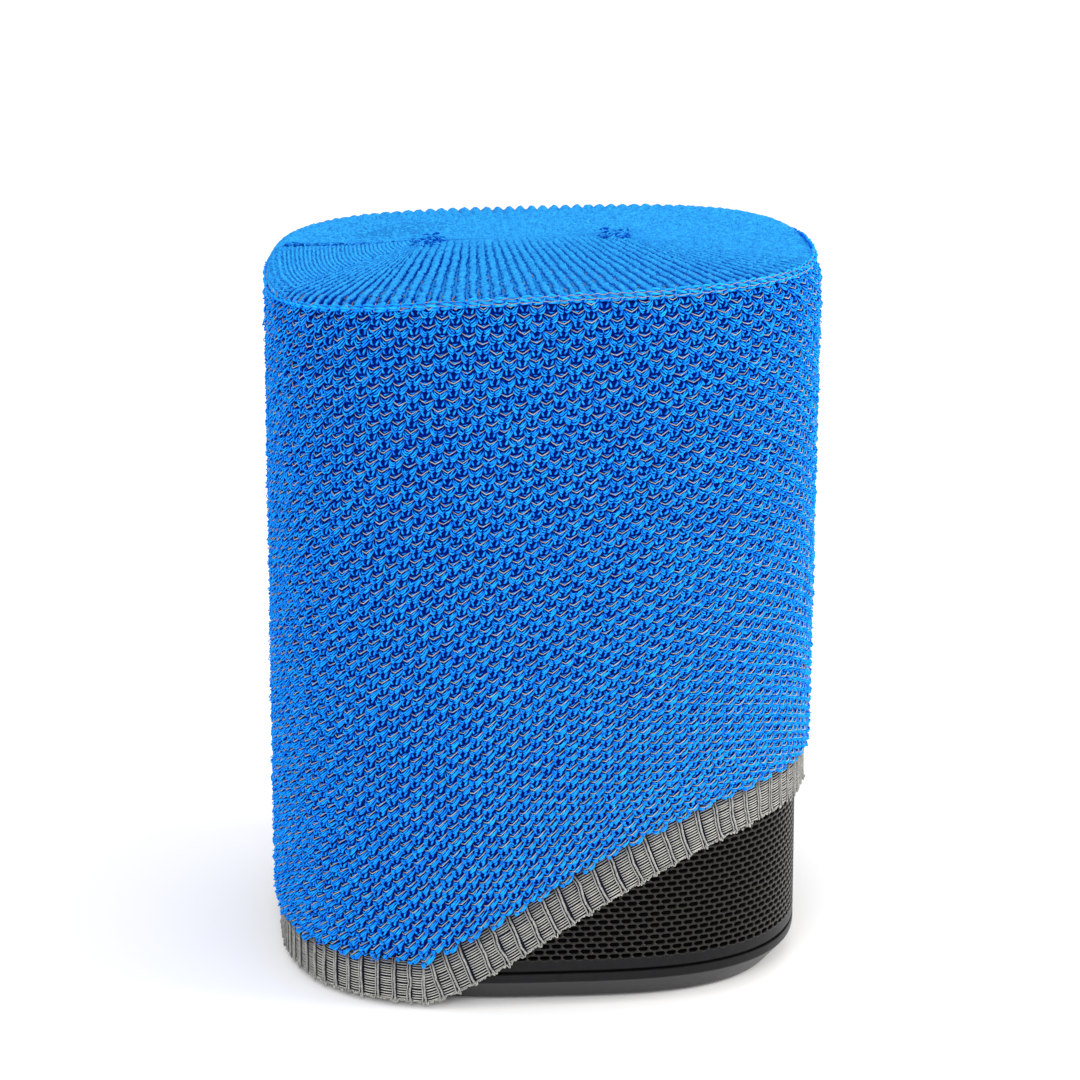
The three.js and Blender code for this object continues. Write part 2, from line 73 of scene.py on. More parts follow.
def ease(x, low, high):
    t = clamp((x - low) / (high - low))
    return t * t * (3 - 2 * t)


def unit(v):
    return v / np.maximum(np.linalg.norm(v, axis=-1, keepdims=True), 1e-9)


def stack(*parts):
    return np.stack(parts, -1)


def add(name, data):
    obj = bpy.data.objects.new(name, data)
    scene.collection.objects.link(obj)
    return obj


def lattice(rows, columns):
    return np.meshgrid(arange(rows), arange(columns), indexing="ij")


def centred(share):
    """The share counted from the front's middle, from -0.5 by the left to 0.5 by the right."""
    return np.mod(share + 0.5, 1.0) - 0.5


def bulge(count, margin=0.08):
    """Values that rise to 1 in the middle and fall again."""
    return sin(pi * linspace(margin, 1 - margin, count))


def curl(t, bend, reach, angle):
    """A small bent arc in a plane, turned by an angle."""
    across = reach * (t * cos(angle) - bend * sin(angle))
    return across, reach * (t * sin(angle) + bend * cos(angle))


# ---- camera, light, floor

AIM = Vector((0.00045, 0.0, 0.094))
AZIMUTH, ELEVATION, DISTANCE = math.radians(-4.0), math.radians(15.75), 1.025
LENS, SENSOR, CLIP_START = 144.8, 36.0, 0.02
LIGHT_TARGET = (0.0, 0.0, 0.08)
FLOOR_HALF = 6.0


def look_at(obj, target):
    obj.rotation_euler = (Vector(target) - obj.location).to_track_quat("-Z", "Y").to_euler()


def make_camera():
    camera = add("camera", bpy.data.cameras.new("camera"))
    camera.data.sensor_width = SENSOR
    camera.data.lens = LENS
    camera.data.clip_start = CLIP_START
    level = math.cos(ELEVATION)
    back = Vector((math.sin(AZIMUTH) * level, -math.cos(AZIMUTH) * level, math.sin(ELEVATION)))
    camera.location = AIM + back * DISTANCE
    look_at(camera, AIM)
    scene.camera = camera


def area_light(name, place, size, watts, colour=(1.0, 1.0, 1.0)):
    lamp = bpy.data.lights.new(name, "AREA")
    lamp.shape = "RECTANGLE"
    lamp.size, lamp.size_y = size
    lamp.energy = watts
    lamp.color = colour
    obj = add(name, lamp)
    obj.location = place
    look_at(obj, LIGHT_TARGET)


def make_studio():
    world = bpy.data.worlds.new("studio")
    world.use_nodes = True
    background = world.node_tree.nodes["Background"]
    background.inputs["Color"].default_value = (1.0, 1.0, 1.0, 1.0)
    background.inputs["Strength"].default_value = 1.0
    scene.world = world
    area_light("key", (-0.28, -1.2, 0.62), (0.6, 0.6), 9.5)
    area_light("fill", (1.15, -0.25, 0.38), (0.5, 0.8), 13.0, (1.0, 0.98, 0.93))
    me = bpy.data.meshes.new("floor")
    corners = [(x * FLOOR_HALF, y * FLOOR_HALF, 0) for x, y in ((-1, -1), (1, -1), (1, 1), (-1, 1))]
    me.from_pydata(corners, [], [(0, 1, 2, 3)])
    me.materials.append(material("floor", (0.96,) * 3, (0.975,) * 3, 3.0, (0.75, 0.85), bump=0.0))
    add("floor", me)


# ---- materials

NOISE_SPAN = {"From Min": 0.3, "From Max": 0.7}  # where most of a noise's values lie
SHEEN_ROUGHNESS = 0.45


def material(name, dark, light, grain, rough, metal=0.0, bump=0.2, bump_mm=0.05, bump_grain=None, sheen=0.0,
             sheen_tint=(1.0, 1.0, 1.0), specular=0.5, tone=None, speckle=0.35, stretch=(1.0, 1.0, 1.0)):
    """A surface with mottled colour and roughness and a fine bump, both from noise in object space.

    grain is in waves per metre. tone names a point attribute that runs the colour from dark to light,
    and speckle is how much the noise adds to it.
    """
    mat = bpy.data.materials.new(name)
    mat.use_nodes = True
    tree = mat.node_tree
    link = tree.links.new
    shader = tree.nodes["Principled BSDF"]
    for key, value in (("Metallic", metal), ("Sheen Weight", sheen), ("Sheen Roughness", SHEEN_ROUGHNESS),
                       ("Sheen Tint", (*sheen_tint, 1.0)), ("Specular IOR Level", specular)):
        shader.inputs[key].default_value = value

    def node(kind, **values):
        made = tree.nodes.new(kind)
        for key, value in values.items():
            made.inputs[key].default_value = value
        return made

    place = tree.nodes.new("ShaderNodeTexCoord")
    mapping = node("ShaderNodeMapping", Scale=stretch)
    link(place.outputs["Object"], mapping.inputs["Vector"])
    mottle = node("ShaderNodeTexNoise", Scale=grain, Detail=5.0, Roughness=0.6)
    link(mapping.outputs["Vector"], mottle.inputs["Vector"])

    ramp = tree.nodes.new("ShaderNodeMix")
    ramp.data_type = "RGBA"
    colours = [s for s in ramp.inputs if s.type == "RGBA"]
    colours[0].default_value = (*dark, 1.0)
    colours[1].default_value = (*light, 1.0)
    spread = node("ShaderNodeMapRange", **NOISE_SPAN)
    link(mottle.outputs["Fac"], spread.inputs["Value"])
    share = spread.outputs["Result"]
    if tone:
        attribute = tree.nodes.new("ShaderNodeAttribute")
        attribute.attribute_name = tone
        blend = node("ShaderNodeMath")
        blend.operation = "MULTIPLY_ADD"
        link(share, blend.inputs[0])
        blend.inputs[1].default_value = speckle
        link(attribute.outputs["Fac"], blend.inputs[2])
        lower = node("ShaderNodeMath")
        lower.operation = "SUBTRACT"
        lower.use_clamp = True
        link(blend.outputs[0], lower.inputs[0])
        lower.inputs[1].default_value = 0.5 * speckle
        share = lower.outputs[0]
    link(share, ramp.inputs["Factor"])
    (colour,) = [s for s in ramp.outputs if s.type == "RGBA"]
    link(colour, shader.inputs["Base Color"])

    shine = node("ShaderNodeMapRange", **NOISE_SPAN, **{"To Min": rough[0], "To Max": rough[1]})
    link(mottle.outputs["Fac"], shine.inputs["Value"])
    link(shine.outputs["Result"], shader.inputs["Roughness"])

    if bump:
        fine = node("ShaderNodeTexNoise", Scale=bump_grain or grain * 4, Detail=4.0)
        link(mapping.outputs["Vector"], fine.inputs["Vector"])
        relief = node("ShaderNodeBump", Strength=bump, Distance=bump_mm * MM)
        link(fine.outputs["Fac"], relief.inputs["Height"])
        link(relief.outputs["Normal"], shader.inputs["Normal"])
    return mat


# ---- meshes from arrays

TIP = 0.7  # how far a strand's pointed end reaches past its path, in radii


def build(name, points, quads, tris=None, tone=None, uv=None, mat=None, smooth=True):
    """A mesh object from millimetres; tone is a value at each point, uv a pair at each corner."""
    tris = np.zeros((0, 3), int) if tris is None else tris
    points = np.reshape(points, (-1, 3))
    me = bpy.data.meshes.new(name)
    me.vertices.add(len(points))
    me.vertices.foreach_set("co", (points * MM).astype(np.float32).ravel())
    corners = join([np.ravel(quads), np.ravel(tris)]).astype(np.int32)
    sizes = join([full(len(quads), 4), full(len(tris), 3)]).astype(np.int32)
    me.loops.add(len(corners))
    me.loops.foreach_set("vertex_index", corners)
    me.polygons.add(len(sizes))
    me.polygons.foreach_set("loop_start", (np.cumsum(sizes) - sizes).astype(np.int32))
    me.polygons.foreach_set("use_smooth", full(len(sizes), smooth))
    me.update(calc_edges=True)
    me.validate()
    if tone is not None:
        values = me.attributes.new("tone", "FLOAT", "POINT").data
        values.foreach_set("value", np.asarray(tone, np.float32).ravel())
    if uv is not None:
        me.uv_layers.new(name="OFBake").data.foreach_set("uv", uv.astype(np.float32).ravel())
    me.materials.append(mat)
    return add(name, me)


def strands(name, paths, radius, outward, tone, mat, sides=6, foot=0.08):
    """Many closed strands in one mesh. paths is (strands, points, 3), radius and tone (strands, points).

    foot is the painted shade where a strand meets what is under it, on its underside and at its ends, as a
    share of the tone on its crest.
    """
    n, k = paths.shape[:2]
    along = unit(np.gradient(paths, axis=1))
    across = unit(np.cross(along, outward))
    up = np.cross(across, along)
    turn = TAU * (arange(sides) / sides + 0.25)
    spoke = cos(turn)[:, None] * across[:, :, None] + sin(turn)[:, None] * up[:, :, None]
    rings = paths[:, :, None] + radius[:, :, None, None] * spoke
    start = paths[:, 0] - along[:, 0] * radius[:, :1] * TIP
    end = paths[:, -1] + along[:, -1] * radius[:, -1:] * TIP
    points = join([rings.reshape(n, k * sides, 3), np.stack([start, end], axis=1)], axis=1)
    # Painted shade: the tone falls from the crest to the foot share on a strand's underside, and the end caps
    # take the foot share too.
    crest = foot + (1 - foot) * (0.5 + 0.5 * sin(turn)) ** 1.6
    ringed = (tone[:, :, None] * crest).reshape(n, -1)
    tones = join([ringed, foot * tone[:, [0, -1]]], axis=1)

    r, s = lattice(k - 1, sides)
    t = (s + 1) % sides
    quad = stack(r * sides + s, r * sides + t, (r + 1) * sides + t, (r + 1) * sides + s)
    side = arange(sides)
    following = (side + 1) % sides
    last = (k - 1) * sides
    low_cap = stack(following, side, full(sides, k * sides))
    high_cap = stack(last + side, last + following, full(sides, k * sides + 1))
    cap = join([low_cap, high_cap])
    first = (arange(n) * (k * sides + 2))[:, None, None]
    quads = (quad.reshape(1, -1, 4) + first).reshape(-1, 4)
    tris = (cap[None] + first).reshape(-1, 3)

    # Each strand has its own cell of the map, so that baking needs no unwrap.
    grid = int(np.ceil(np.sqrt(n)))
    cell = stack(arange(n) % grid, arange(n) // grid)[:, None, None]
    across_uv = stack(s, s + 1, s + 1, s) / sides
    along_uv = 0.1 + 0.8 * stack(r, r, r + 1, r + 1) / (k - 1)
    quad_uv = stack(across_uv, along_uv).reshape(1, -1, 4, 2)
    low = stack(side + 1, side, side + 0.5) / sides
    high = stack(side, side + 1, side + 0.5) / sides
    low_uv = stack(low, np.broadcast_to([0.1, 0.1, 0.0], low.shape))
    high_uv = stack(high, np.broadcast_to([0.9, 0.9, 1.0], high.shape))
    cap_uv = join([low_uv, high_uv])[None]
    uv = join([((part * 0.8 + 0.1 + cell) / grid).reshape(-1, 2) for part in (quad_uv, cap_uv)])
    return build(name, points, quads, tris, tones, uv, mat)


def ring_quads(n, k):
    """The faces of a lattice of n by k points that closes both ways."""
    i, j = lattice(n, k)
    ni, nj = (i + 1) % n, (j + 1) % k
    return stack(i * k + j, ni * k + j, ni * k + nj, i * k + nj).reshape(-1, 4)


# ---- the rounded-square plan

HALF_WIDTH, SQUARENESS = 60.0, 3.0


class Plan:
    """The speaker's outline. A share of 0 is the front's middle, 0.25 the right side's."""

    def __init__(self):
        t = linspace(-0.5 * pi, 1.5 * pi, 8193)
        c, s = cos(t), sin(t)
        reach = (np.abs(c) ** SQUARENESS + np.abs(s) ** SQUARENESS) ** (-1 / SQUARENESS)
        self.xy = HALF_WIDTH * reach[:, None] * stack(c, s)
        self.n = unit(np.stack([np.sign(a) * np.abs(a) ** (SQUARENESS - 1) for a in (c, s)], -1))
        steps = np.linalg.norm(np.diff(self.xy, axis=0), axis=1)
        self.length = join([[0], np.cumsum(steps)])
        self.round = self.length[-1]

    def _read(self, table, share):
        s = np.mod(share, 1.0) * self.round
        return np.stack([np.interp(s, self.length, table[:, i]) for i in range(2)], -1)

    def normal(self, share):
        flat = unit(self._read(self.n, share))
        return join([flat, np.zeros((*flat.shape[:-1], 1))], -1)

    def at(self, share, z, out):
        share, z, out = np.broadcast_arrays(share, z, out)
        flat = self._read(self.xy, share) + out[..., None] * unit(self._read(self.n, share))
        return join([flat, np.asarray(z, float)[..., None]], -1)

    def x(self, share):
        return self._read(self.xy, share)[..., 0]


plan = Plan()


def ring(name, section, mat, around=288):
    """A closed section of (out, z) corners swept round the plan."""
    share = arange(around) / around
    out, z = array(section).T
    points = plan.at(share[:, None], z[None], out[None])
    return build(name, points, ring_quads(around, len(section)), mat=mat)


def smooth_by_angle(obj, degrees=35.0):
    """Soft shading on curved faces, with edges sharper than the angle kept."""
    me = obj.data
    me.update()
    bm = bmesh.new()
    bm.from_mesh(me)
    bmesh.ops.recalc_face_normals(bm, faces=bm.faces)
    limit = math.radians(degrees)
    for edge in bm.edges:
        edge.smooth = len(edge.link_faces) == 2 and edge.calc_face_angle(0.0) < limit
    for face in bm.faces:
        face.smooth = True
    bm.to_mesh(me)
    bm.free()


# ---- the knitted cover

HEM_LOW, HEM_RISE, RISE_FROM, RISE_TO = 1.6, 40.6, -29.0, 57.0
HEM_DEEP = 9.2  # the hem's depth, square to its edge
RIM_MIDDLE, RIM_BACKWARD, RIM_SIDEWAYS = 162.9, -0.041, 0.03  # the pulled cover's top is tilted
COLUMNS, ROWS = 144, 42
FIRST_ROW = 0.18  # rows from the rim down to the first stitch's point
GROUND_IN, GROUND_OUT = 0.8, 1.5  # the knit's thin ground, out from the plan
WALL_STEPS = 432  # steps of the grounds round the plan
LEFT_SINK, SINK_FROM = 0.47, 0.07  # the left half's rows hang lower at its middle
FRONT_DIP, DIP_AT, DIP_WIDE = 3.6, 0.06, 0.07  # the rows' sag right of the front's middle
SEAT = 1.2  # no strand of a stitch lies nearer the plan


def right_side(xy):
    """How far to the right a point of the plan is: 0 at the middle, 1 at the right edge."""
    return clamp(xy[..., 0] / HALF_WIDTH)


def hem_bottom(share):
    """Height of the cover's lower edge: down on the left, pulled up on the right."""
    t = clamp((plan.x(share) - RISE_FROM) / (RISE_TO - RISE_FROM))
    return HEM_LOW + HEM_RISE * sin(0.5 * pi * t**1.2)


def rim_z(xy):
    """Height of the cover's top edge over a point of the plan."""
    left = clamp(-xy[..., 0] / HALF_WIDTH - 0.35)
    return RIM_MIDDLE + RIM_SIDEWAYS * xy[..., 0] + RIM_BACKWARD * xy[..., 1] - 4.0 * left**2


def shoulder(xy, v):
    """How far the wall leans in at depth v near the rim, mostly where it stands above the speaker."""
    return (0.4 + 1.3 * right_side(xy) ** 3) * clamp(1 - v / 0.05) ** 2


def hem_slope(share):
    step = 0.002
    return (hem_bottom(share + step) - hem_bottom(share - step)) / (2 * step * plan.round)


def knit_bottom(share):
    """Height where the knit ends and the hem begins."""
    return hem_bottom(share) + (HEM_DEEP - 0.9) * np.sqrt(1 + hem_slope(share) ** 2)


def wall_share(u, v):
    """Where column u of the knit really lies at depth v: its columns bow and bunch as it is tugged."""
    bunch = (0.04 - 0.12 * ease(v, 0, 1)) / TAU * sin(TAU * u)
    bow = -0.0215 * sin(pi * 0.86 * clamp(v) ** 1.6) * (0.6 + 0.4 * cos(TAU * u))
    return u + bunch + bow


def wall_surface(share, z, out):
    """A point of the knitted wall at a height, with the cover's slack on the right."""
    share, z, out = np.broadcast_arrays(share, z, out)
    base = plan.at(share, 0.0, 0.0)
    rim = rim_z(base)
    depth = clamp((rim - z) / (rim - knit_bottom(share)))
    right = right_side(base) ** 2
    proud = (out - GROUND_IN) * (1 - 0.2 * depth * right)
    out = GROUND_IN + proud + 0.9 * right * (1 - 0.7 * depth)
    return plan.at(share, z, out - shoulder(base, depth))


def wall(u, v, out):
    """A point of the knitted wall: u is round it in the knit's columns and v down it in its rows."""
    u, v, out = np.broadcast_arrays(u, v, out)
    share = wall_share(u, v)
    base = plan.at(share, 0.0, 0.0)
    k = 0.2 + 0.0018 * base[..., 0]
    rim = rim_z(base)
    z = rim - (rim - knit_bottom(share)) * ((1 + k) * v - k * v * v)
    side = centred(share)
    away = np.minimum(np.abs(side), 0.5 - np.abs(side))
    sunk = np.where(side < 0, LEFT_SINK * plan.round * clamp(away - SINK_FROM), 0.0)
    z = z - sunk * (1 - exp(-np.clip(v, 0, 2) / 0.4))
    z = z - FRONT_DIP * exp(-(((side - DIP_AT) / DIP_WIDE) ** 2)) * sin(pi * clamp(v))
    return wall_surface(share, z, out), share


# Strands of a stitch, as points of (column widths across, rows down, millimetres out), then radii.
WING = [
    ([(0.61, 0.0, 1.8), (0.53, 0.18, 2.5), (0.37, 0.34, 2.9), (0.19, 0.41, 3.0), (0.05, 0.35, 2.4)],
     [0.1, 0.19, 0.24, 0.24, 0.17]),
    ([(0.62, -0.06, 2.1), (0.48, 0.08, 2.9), (0.33, 0.2, 3.2), (0.17, 0.28, 3.3), (0.05, 0.24, 2.7)],
     [0.1, 0.18, 0.21, 0.21, 0.16]),
    ([(0.44, -0.06, 2.4), (0.31, 0.04, 3.0), (0.2, 0.11, 3.3), (0.1, 0.15, 3.2), (0.02, 0.12, 2.6)],
     [0.08, 0.15, 0.18, 0.18, 0.13]),
]
STITCH = [
    ([(side * a, b, d) for a, b, d in points], radius) for side in (-1, 1) for points, radius in WING
]
LEG = [(0.31, 0.44, 2.0), (0.26, 0.56, 2.7), (0.18, 0.68, 2.7), (0.12, 0.79, 2.0)]
UNDER = [([(side * a, b, d) for a, b, d in LEG], [0.18, 0.28, 0.27, 0.14]) for side in (-1, 1)] + [
    ([(-0.2, 0.88, 2.3), (0.0, 0.9, 2.9), (0.2, 0.88, 2.3)], [0.11, 0.17, 0.11])
]
ELASTIC = [
    ([(-0.62, -0.21, 2.1), (-0.33, -0.11, 2.9), (0.0, 0.01, 3.15), (0.33, -0.11, 2.9), (0.62, -0.22, 2.1)],
     [0.11, 0.13, 0.14, 0.13, 0.11])
]


def stitch_paths(shapes, column, row, jitter):
    """Paths, radii, outward directions and tones of every stitch's strands, grouped by length."""
    paths, radii, outs, tones = [], [], [], []
    u0 = (column + 0.5) / COLUMNS
    v0 = (row + 0.5 * (column % 2) + FIRST_ROW) / ROWS
    count = len(column)
    push = normal(0, 1, (count, 3)) * STITCH_PUSH
    tilt = normal(0, 0.06, count)
    low = clamp((v0 - 0.6) / 0.4)[:, None]
    side = centred(wall_share(u0, v0))
    skew = (clamp(1.3 * v0 + 3.0 * side) * clamp(3 - 8 * np.abs(side)))[:, None]
    turned = sin(TAU * np.clip(-side, 0, 0.5))
    level = 0.36 * (1 - exp(-v0 / 0.4)) * clamp((-side - 0.07) / 0.07) - 0.2 * turned
    level = np.where(side > -0.43, np.maximum(level, 0), 0)[:, None]
    for control, radius in shapes:
        c = array(control)
        k = len(c)
        own = normal(0, 1, (count, k, 3)) * jitter
        whole = normal(0, 1, (count, 3)) * jitter
        a, b, d = np.moveaxis(c + own + push[:, None] + whole[:, None], -1, 0)
        b = b * (1 - 0.1 * low) + (tilt[:, None] - 0.12 * skew + level) * c[:, 0]
        a = a - 0.22 * skew * (1 - (c[:, 0] / 0.62) ** 2)
        d = d - 0.5 * skew * clamp(-c[:, 0] / 0.6)
        point, share = wall(u0[:, None] + a / COLUMNS, v0[:, None] + b / ROWS, np.maximum(d, SEAT))
        size = uniform(0.82, 1.06, (count, 1)) * (1 + 0.04 * low)
        # Painted shade: a strand darkens towards its ends and where it lies deep, near the plan; the random
        # factors are real tone.
        end_shade = 0.5 + 0.5 * bulge(k) * uniform(0.7, 1.1, (count, k))
        shade = end_shade * uniform(0.72, 1.05, (count, 1)) * np.clip(0.25 + 0.42 * (d - SEAT), 0.2, 1.0)
        paths.append(point)
        radii.append(radius * size)
        outs.append(plan.normal(share))
        tones.append(shade)
    groups = {}
    for i, path in enumerate(paths):
        groups.setdefault(path.shape[1], []).append(i)
    parts = (paths, radii, outs, tones)
    return [[join([x[i] for i in group]) for x in parts] for group in groups.values()]


def stitches_in(low, high, first=0, end=ROWS):
    """Columns and rows of a part of the wall; a column half a row lower has one stitch fewer."""
    column, row = (x.ravel() for x in lattice(high - low, end - first))
    column, row = column + low, row + first
    point, share = wall((column + 0.5) / COLUMNS, (row + 0.5 * (column % 2) + FIRST_ROW + 0.5) / ROWS, 2.0)
    room = point[:, 2] - knit_bottom(share)
    keep = (room > (0.0 if end == ROWS else 2.0)) & ((row < end - 1) | (column % 2 == 0))
    keep = keep & ((row >= 0) | (column % 2 == 1))
    return column[keep], row[keep]


def shell(name, v_values, outside, inside, mat, place):
    """A closed thin band, from one layer out and one in, joined at its edges."""
    u = arange(WALL_STEPS) / WALL_STEPS
    outer = place(u[:, None], v_values[None], outside)
    inner = place(u[:, None], v_values[None][:, ::-1], inside)
    points = join([outer, inner], axis=1)
    quads = ring_quads(WALL_STEPS, points.shape[1])[:, ::-1]
    return build(name, points, quads, mat=mat)


FUZZ_RADIUS, THREAD_RADIUS, SPECK_RADIUS = 0.09, 0.095, 0.14
KNIT_HEIGHT = 150.0
# Random shifts of a whole stitch, and of its strands and their points, as (across, down, out).
STITCH_PUSH = (0.02, 0.025, 0.1)
STITCH_JITTER, UNDER_JITTER = (0.02, 0.019, 0.13), (0.015, 0.012, 0.08)
ELASTIC_JITTER = (0.012, 0.012, 0.05)


def make_fuzz(count=1500):
    """Small stray loops of yarn that stand off the knit."""
    u, v = uniform(0, 1, (count, 1)), uniform(0.0, 0.98, (count, 1))
    angle = uniform(0, TAU, (count, 1))
    t = linspace(-1, 1, 6)[None]
    reach = uniform(0.25, 0.75, (count, 1))
    lift = uniform(0.35, 1.1, (count, 1)) * (1 - t**2)
    bend = normal(0, 0.25, (count, 1)) * (1 - t**2)
    across, down = curl(t, bend, reach, angle)
    point, share = wall(u + across / plan.round, v + down / KNIT_HEIGHT, 2.9 + lift)
    tone = full(point.shape[:2], 0.8) * uniform(0.7, 1.1, (count, 1))
    radius = full(tone.shape, FUZZ_RADIUS)
    on = (point[..., 2] > knit_bottom(share) + 0.5).all(axis=1)
    outward = plan.normal(share)
    return strands("cover_stray_loops", point[on], radius[on], outward[on], tone[on], KNIT, sides=4)


def sectors(count):
    """The number, first column and end column of equal parts of the way round."""
    band = COLUMNS // count
    return [(part + 1, part * band, (part + 1) * band) for part in range(count)]


def make_wall():
    def place(u, v, out):
        return wall_surface(u, rim_z(plan.at(u, 0.0, 0.0)) * (1 - v) + knit_bottom(u) * v, out)

    depths = linspace(0.0, 0.985, 48)
    backing = shell("cover_knit_ground", depths, GROUND_OUT, GROUND_IN, KNIT_GROUND_SHADE, place)
    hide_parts("cover_wall")
    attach(backing, "cover")
    extra = [make_fuzz()]
    for part, low, high in sectors(12):
        column, row = stitches_in(low, high)
        (group,) = stitch_paths(STITCH, column, row, STITCH_JITTER)
        extra.append(strands(f"cover_stitches_{part}", *group, mat=KNIT, sides=5))
    for part, low, high in sectors(3):
        column, row = stitches_in(low, high, first=-1, end=ROWS - 1)
        for name, group in zip(("legs", "bars"), stitch_paths(UNDER, column, row, UNDER_JITTER)):
            extra.append(strands(f"cover_stitch_{name}_{part}", *group, mat=KNIT, sides=5))
        column, row = stitches_in(low, high)
        (group,) = stitch_paths(ELASTIC, column, row, ELASTIC_JITTER)
        extra.append(strands(f"cover_elastic_{part}", *group, mat=ELASTIC_YARN, sides=5))
    for obj in extra:
        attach(obj, "cover")
    return backing, extra


# ---- top of the cover

GATHER_Y, GATHER_LEFT, GATHER_RIGHT = 17.5, -26.5, 20.0
TOP_RISE, TOP_FOOT = 1.2, 0.6  # heights of the top and of its edge over the rim
TOP_BEND = 0.1  # share of the way in over which the top rounds down to its edge
TOP_STEPS, TOP_LOOPS = COLUMNS * 12, 150  # points of the top round and inwards
PANEL_TOP_Z = 161.5
REACH = 0.096  # share of the way round, each side of the middle, whose ribs run to the gathered line


def gather(u):
    """The gathered line's loop: front ribs end along it from below, back ribs from above."""
    s = centred(u)
    front = np.abs(s) < 0.25
    swing = np.where(front, s, np.where(s > 0, 0.5 - s, -0.5 - s)) / REACH
    t = clamp(0.5 + 0.5 * swing)
    x = GATHER_LEFT + (GATHER_RIGHT - GATHER_LEFT) * t
    angle = TAU * u - 0.5 * pi
    past = clamp(np.abs(swing) - 1)
    return stack(x + 1.3 * past * cos(angle), GATHER_Y + 1.0 * sin(angle))


def hidden_rim(xy):
    """How much of the rim the top folds over: none in front, all at the back and left."""
    return clamp(np.maximum(1.5 * xy[..., 1], -xy[..., 0] - 10.0) / HALF_WIDTH)


def top_point(u, r, lift):
    """A point of the cover's top: r is 0 at the rim and 1 at the gathered line."""
    u, r, lift = np.broadcast_arrays(u, r, lift)
    base = plan.at(u, 0 * u, 0 * u)
    edge = plan.at(u, 0 * u, 3.1 + 0.8 * right_side(base) ** 2 - shoulder(base, 0.0))[..., :2]
    s = clamp(r / TOP_BEND)
    inward = np.where(r < TOP_BEND, TOP_BEND * (1 - cos(0.5 * pi * s)), r)
    flat = edge + (gather(u) - edge) * inward[..., None]
    rise = np.where(r < TOP_BEND, sin(0.5 * pi * s), 1.0)
    level = np.logaddexp(3 * (rim_z(flat) + TOP_RISE), 3 * (PANEL_TOP_Z + 0.4)) / 3
    foot = rim_z(edge) + TOP_FOOT - 1.3 * hidden_rim(base)
    z = foot + (level - foot) * rise + lift
    return join([flat, z[..., None]], -1)


def noise(a, b, table=rng.random((512, 512))):
    """Smooth value noise from 0 to 1 on a unit lattice."""
    ia, ib = np.floor(a).astype(int), np.floor(b).astype(int)
    fa, fb = ease(a - ia, 0, 1), ease(b - ib, 0, 1)
    ia, ib, ja, jb = (index % len(table) for index in (ia, ib, ia + 1, ib + 1))
    low = table[ia, ib] * (1 - fa) + table[ja, ib] * fa
    high = table[ia, jb] * (1 - fa) + table[ja, jb] * fa
    return low * (1 - fb) + high * fb


def groove_shift(rib, r):
    """How far a front groove wanders from its column, in columns."""
    return 0.16 * (noise(rib * 7.3, r * 14) - 0.5) + 0.26 * (noise(rib * 3.1 + 90, r * 75) - 0.5)


